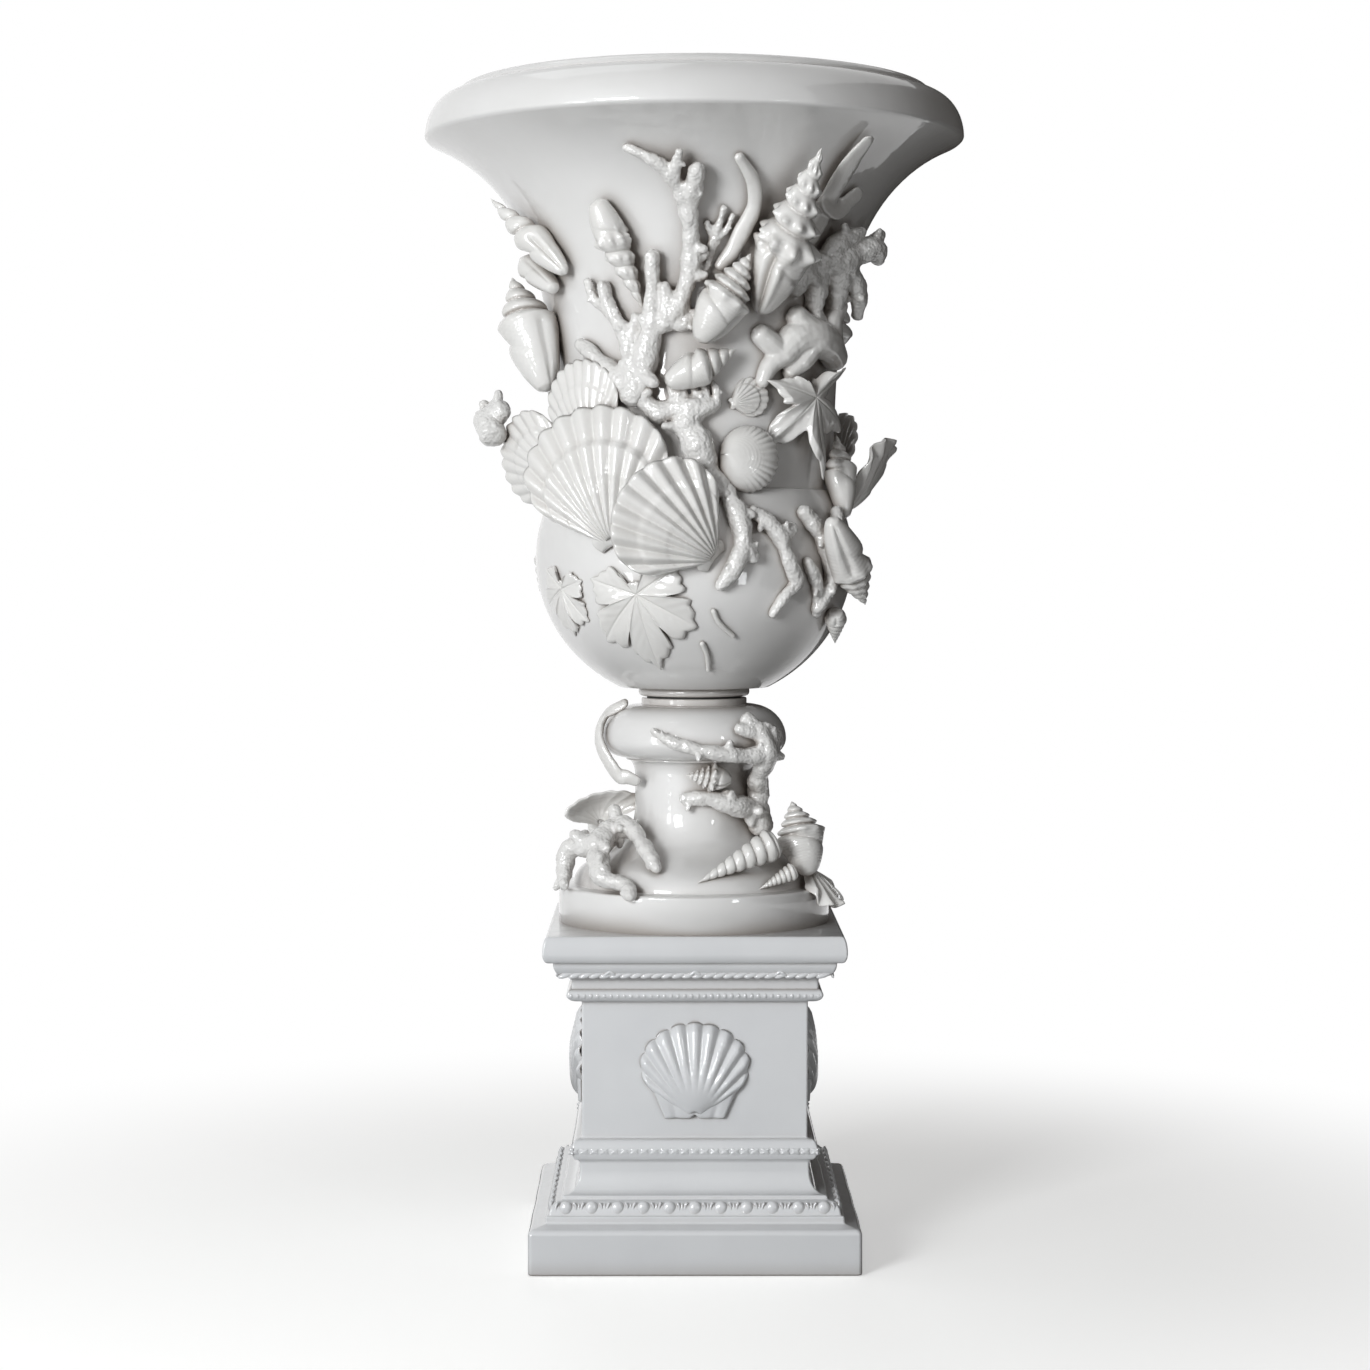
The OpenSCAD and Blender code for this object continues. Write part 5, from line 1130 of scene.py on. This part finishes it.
def finish_fittings():
    """The clamp hidden inside keeps its own solids and gets steel and rubber."""
    for node, kind in (("tie_rod", "steel"), ("rod_nuts", "steel"), ("rod_washers", "steel"),
                       ("rod_pads", "rubber"), ("seam_gasket", "rubber")):
        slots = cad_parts[node].material_slots
        if not slots:
            raise RuntimeError(f"{node} has no material slot")
        for slot in slots:
            slot.material = finish_of(kind)


def light_room(fill):
    """World that is plain white for the camera and in reflections, and lights the vase dimly with
    the warm tone of a room."""
    world = bpy.data.worlds.new("White studio")
    bpy.context.scene.world = world
    world.use_nodes = True
    tree = world.node_tree
    tree.nodes.clear()
    path = add_node(tree, "LightPath").outputs
    seen = add_node(tree, "Math", {0: path["Is Camera Ray"], 1: path["Is Glossy Ray"]},
                    operation="MAXIMUM")
    seen = add_node(tree, "Math", {0: seen, 1: path["Is Transmission Ray"]},
                    operation="MAXIMUM")
    room = add_node(tree, "Background", {"Color": (1, 0.93, 0.88, 1), "Strength": fill})
    white = add_node(tree, "Background", {"Color": (1, 1, 1, 1), "Strength": 1.0})
    sky = add_node(tree, "MixShader", {0: seen, 1: room, 2: white})
    add_node(tree, "OutputWorld", {"Surface": sky})


def hang_lamps(key):
    for name, spot, aim, size, share in LAMPS:
        lamp = bpy.data.lights.new(name, "AREA")
        lamp.color, lamp.energy = LAMP_COLOUR, key * share
        lamp.shape, lamp.size, lamp.size_y = "RECTANGLE", size[0], size[1]
        obj = bpy.data.objects.new(name, lamp)
        obj.location = spot
        obj.visible_glossy = name != "Back light"
        obj.visible_camera = False
        way = Vector((0, 0, aim)) - Vector(spot)
        obj.rotation_euler = way.to_track_quat("-Z", "Y").to_euler()
        bpy.context.scene.collection.objects.link(obj)


def build_stage():
    """Pale floor that keeps the shadow, white surroundings, window-like lamps and the camera."""
    settings = bpy.context.scene.shell_vase
    mesh = bmesh.new()
    bmesh.ops.create_grid(mesh, x_segments=2, y_segments=2, size=FLOOR_HALF)
    floor = new_object(mesh, "pale_floor")
    floor.location.z = -FLOOR_DROP
    floor.data.materials.append(floor_paint())
    light_room(settings.fill)
    hang_lamps(settings.key)

    mesh = bmesh.new()
    for turn, spot in FLAGS:
        made = bmesh.ops.create_grid(mesh, x_segments=1, y_segments=1, size=FLAG_HALF)["verts"]
        upright = Matrix.Rotation(math.pi / 2, 3, "Y")
        bmesh.ops.rotate(mesh, verts=made, cent=(0, 0, 0),
                         matrix=Matrix.Rotation(math.radians(turn), 3, "Z") @ upright)
        bmesh.ops.translate(mesh, verts=made, vec=spot)
    flag = new_object(mesh, "dark_flag")
    flag.visible_camera = False
    flag.data.materials.append(dark_cloth())

    camera = bpy.data.cameras.new("Photograph view")
    camera.sensor_width, camera.lens, camera.clip_end = 36, CAMERA_LENS, 200
    viewer = bpy.data.objects.new("Photograph view", camera)
    viewer.location = CAMERA_SPOT
    viewer.rotation_euler = (math.radians(90 - CAMERA_DOWN), 0, math.radians(CAMERA_YAW))
    bpy.context.scene.collection.objects.link(viewer)
    bpy.context.scene.camera = viewer
    bpy.context.scene.view_settings.view_transform = "Standard"


class ShellVaseSettings(bpy.types.PropertyGroup):
    key: bpy.props.FloatProperty(name="Window light", description="Power of the key lamp",
                                 default=97.0, min=0, unit="POWER")
    fill: bpy.props.FloatProperty(name="Fill light", default=0.1, min=0,
                                  description="Strength of the light from all round")


def operator(name, label, text, build):
    """One button: an operator that makes one piece or group of the vase."""
    def execute(self, context):
        build()
        return {"FINISHED"}

    return type("SHELL_VASE_OT_" + name, (bpy.types.Operator,),
                {"bl_idname": "shell_vase." + name, "bl_label": label, "__doc__": text,
                 "execute": execute})


STEPS = (
    operator("pedestal", "Build pedestal", "Square hollow pedestal with mouldings",
             build_pedestal),
    operator("pedestal_trim", "Add pedestal trim", "Eggs and darts, laurel rolls and beads",
             build_pedestal_trim),
    operator("pedestal_scallops", "Add pedestal scallops", "A moulded scallop on each face",
             build_pedestal_scallops),
    operator("foot", "Build foot", "Spun hollow foot", build_foot),
    operator("bowl", "Build bowl", "Spun hollow bowl with its rolled lip", build_bowl),
    operator("spiral_shells", "Add spiral shells", "Whelks, spindles, augers and turrets",
             build_spiral_shells),
    operator("fans", "Add scallops", "Scallops, cockles and folded leaves", build_fans),
    operator("corals", "Add corals", "Branching corals, stems and tendrils", build_corals),
    operator("leaves", "Add vine leaves", "Toothed vine leaves with veins", build_leaves),
    operator("fittings", "Finish fittings", "Steel and rubber for the hidden clamp",
             finish_fittings),
    operator("stage", "Set the stage", "Floor, surroundings, lamps and camera", build_stage),
)


class SHELL_VASE_PT_panel(bpy.types.Panel):
    """Buttons for building the vase piece by piece"""
    bl_label = "Shell Vase"
    bl_space_type = "VIEW_3D"
    bl_region_type = "UI"
    bl_category = "Shell Vase"

    def draw(self, context):
        for name in ("key", "fill"):
            self.layout.prop(context.scene.shell_vase, name)
        for step in STEPS:
            self.layout.operator(step.bl_idname)


CLASSES = (ShellVaseSettings, *STEPS, SHELL_VASE_PT_panel)


def register():
    for cls in CLASSES:
        bpy.utils.register_class(cls)
    bpy.types.Scene.shell_vase = bpy.props.PointerProperty(type=ShellVaseSettings)


def unregister():
    del bpy.types.Scene.shell_vase
    for cls in reversed(CLASSES):
        bpy.utils.unregister_class(cls)


def main():
    register()
    for step in STEPS:
        made = getattr(bpy.ops.shell_vase, step.bl_idname.split(".")[1])()
        if made != {"FINISHED"}:
            raise RuntimeError(f"{step.bl_label} did not finish")


if __name__ == "__main__":
    main()
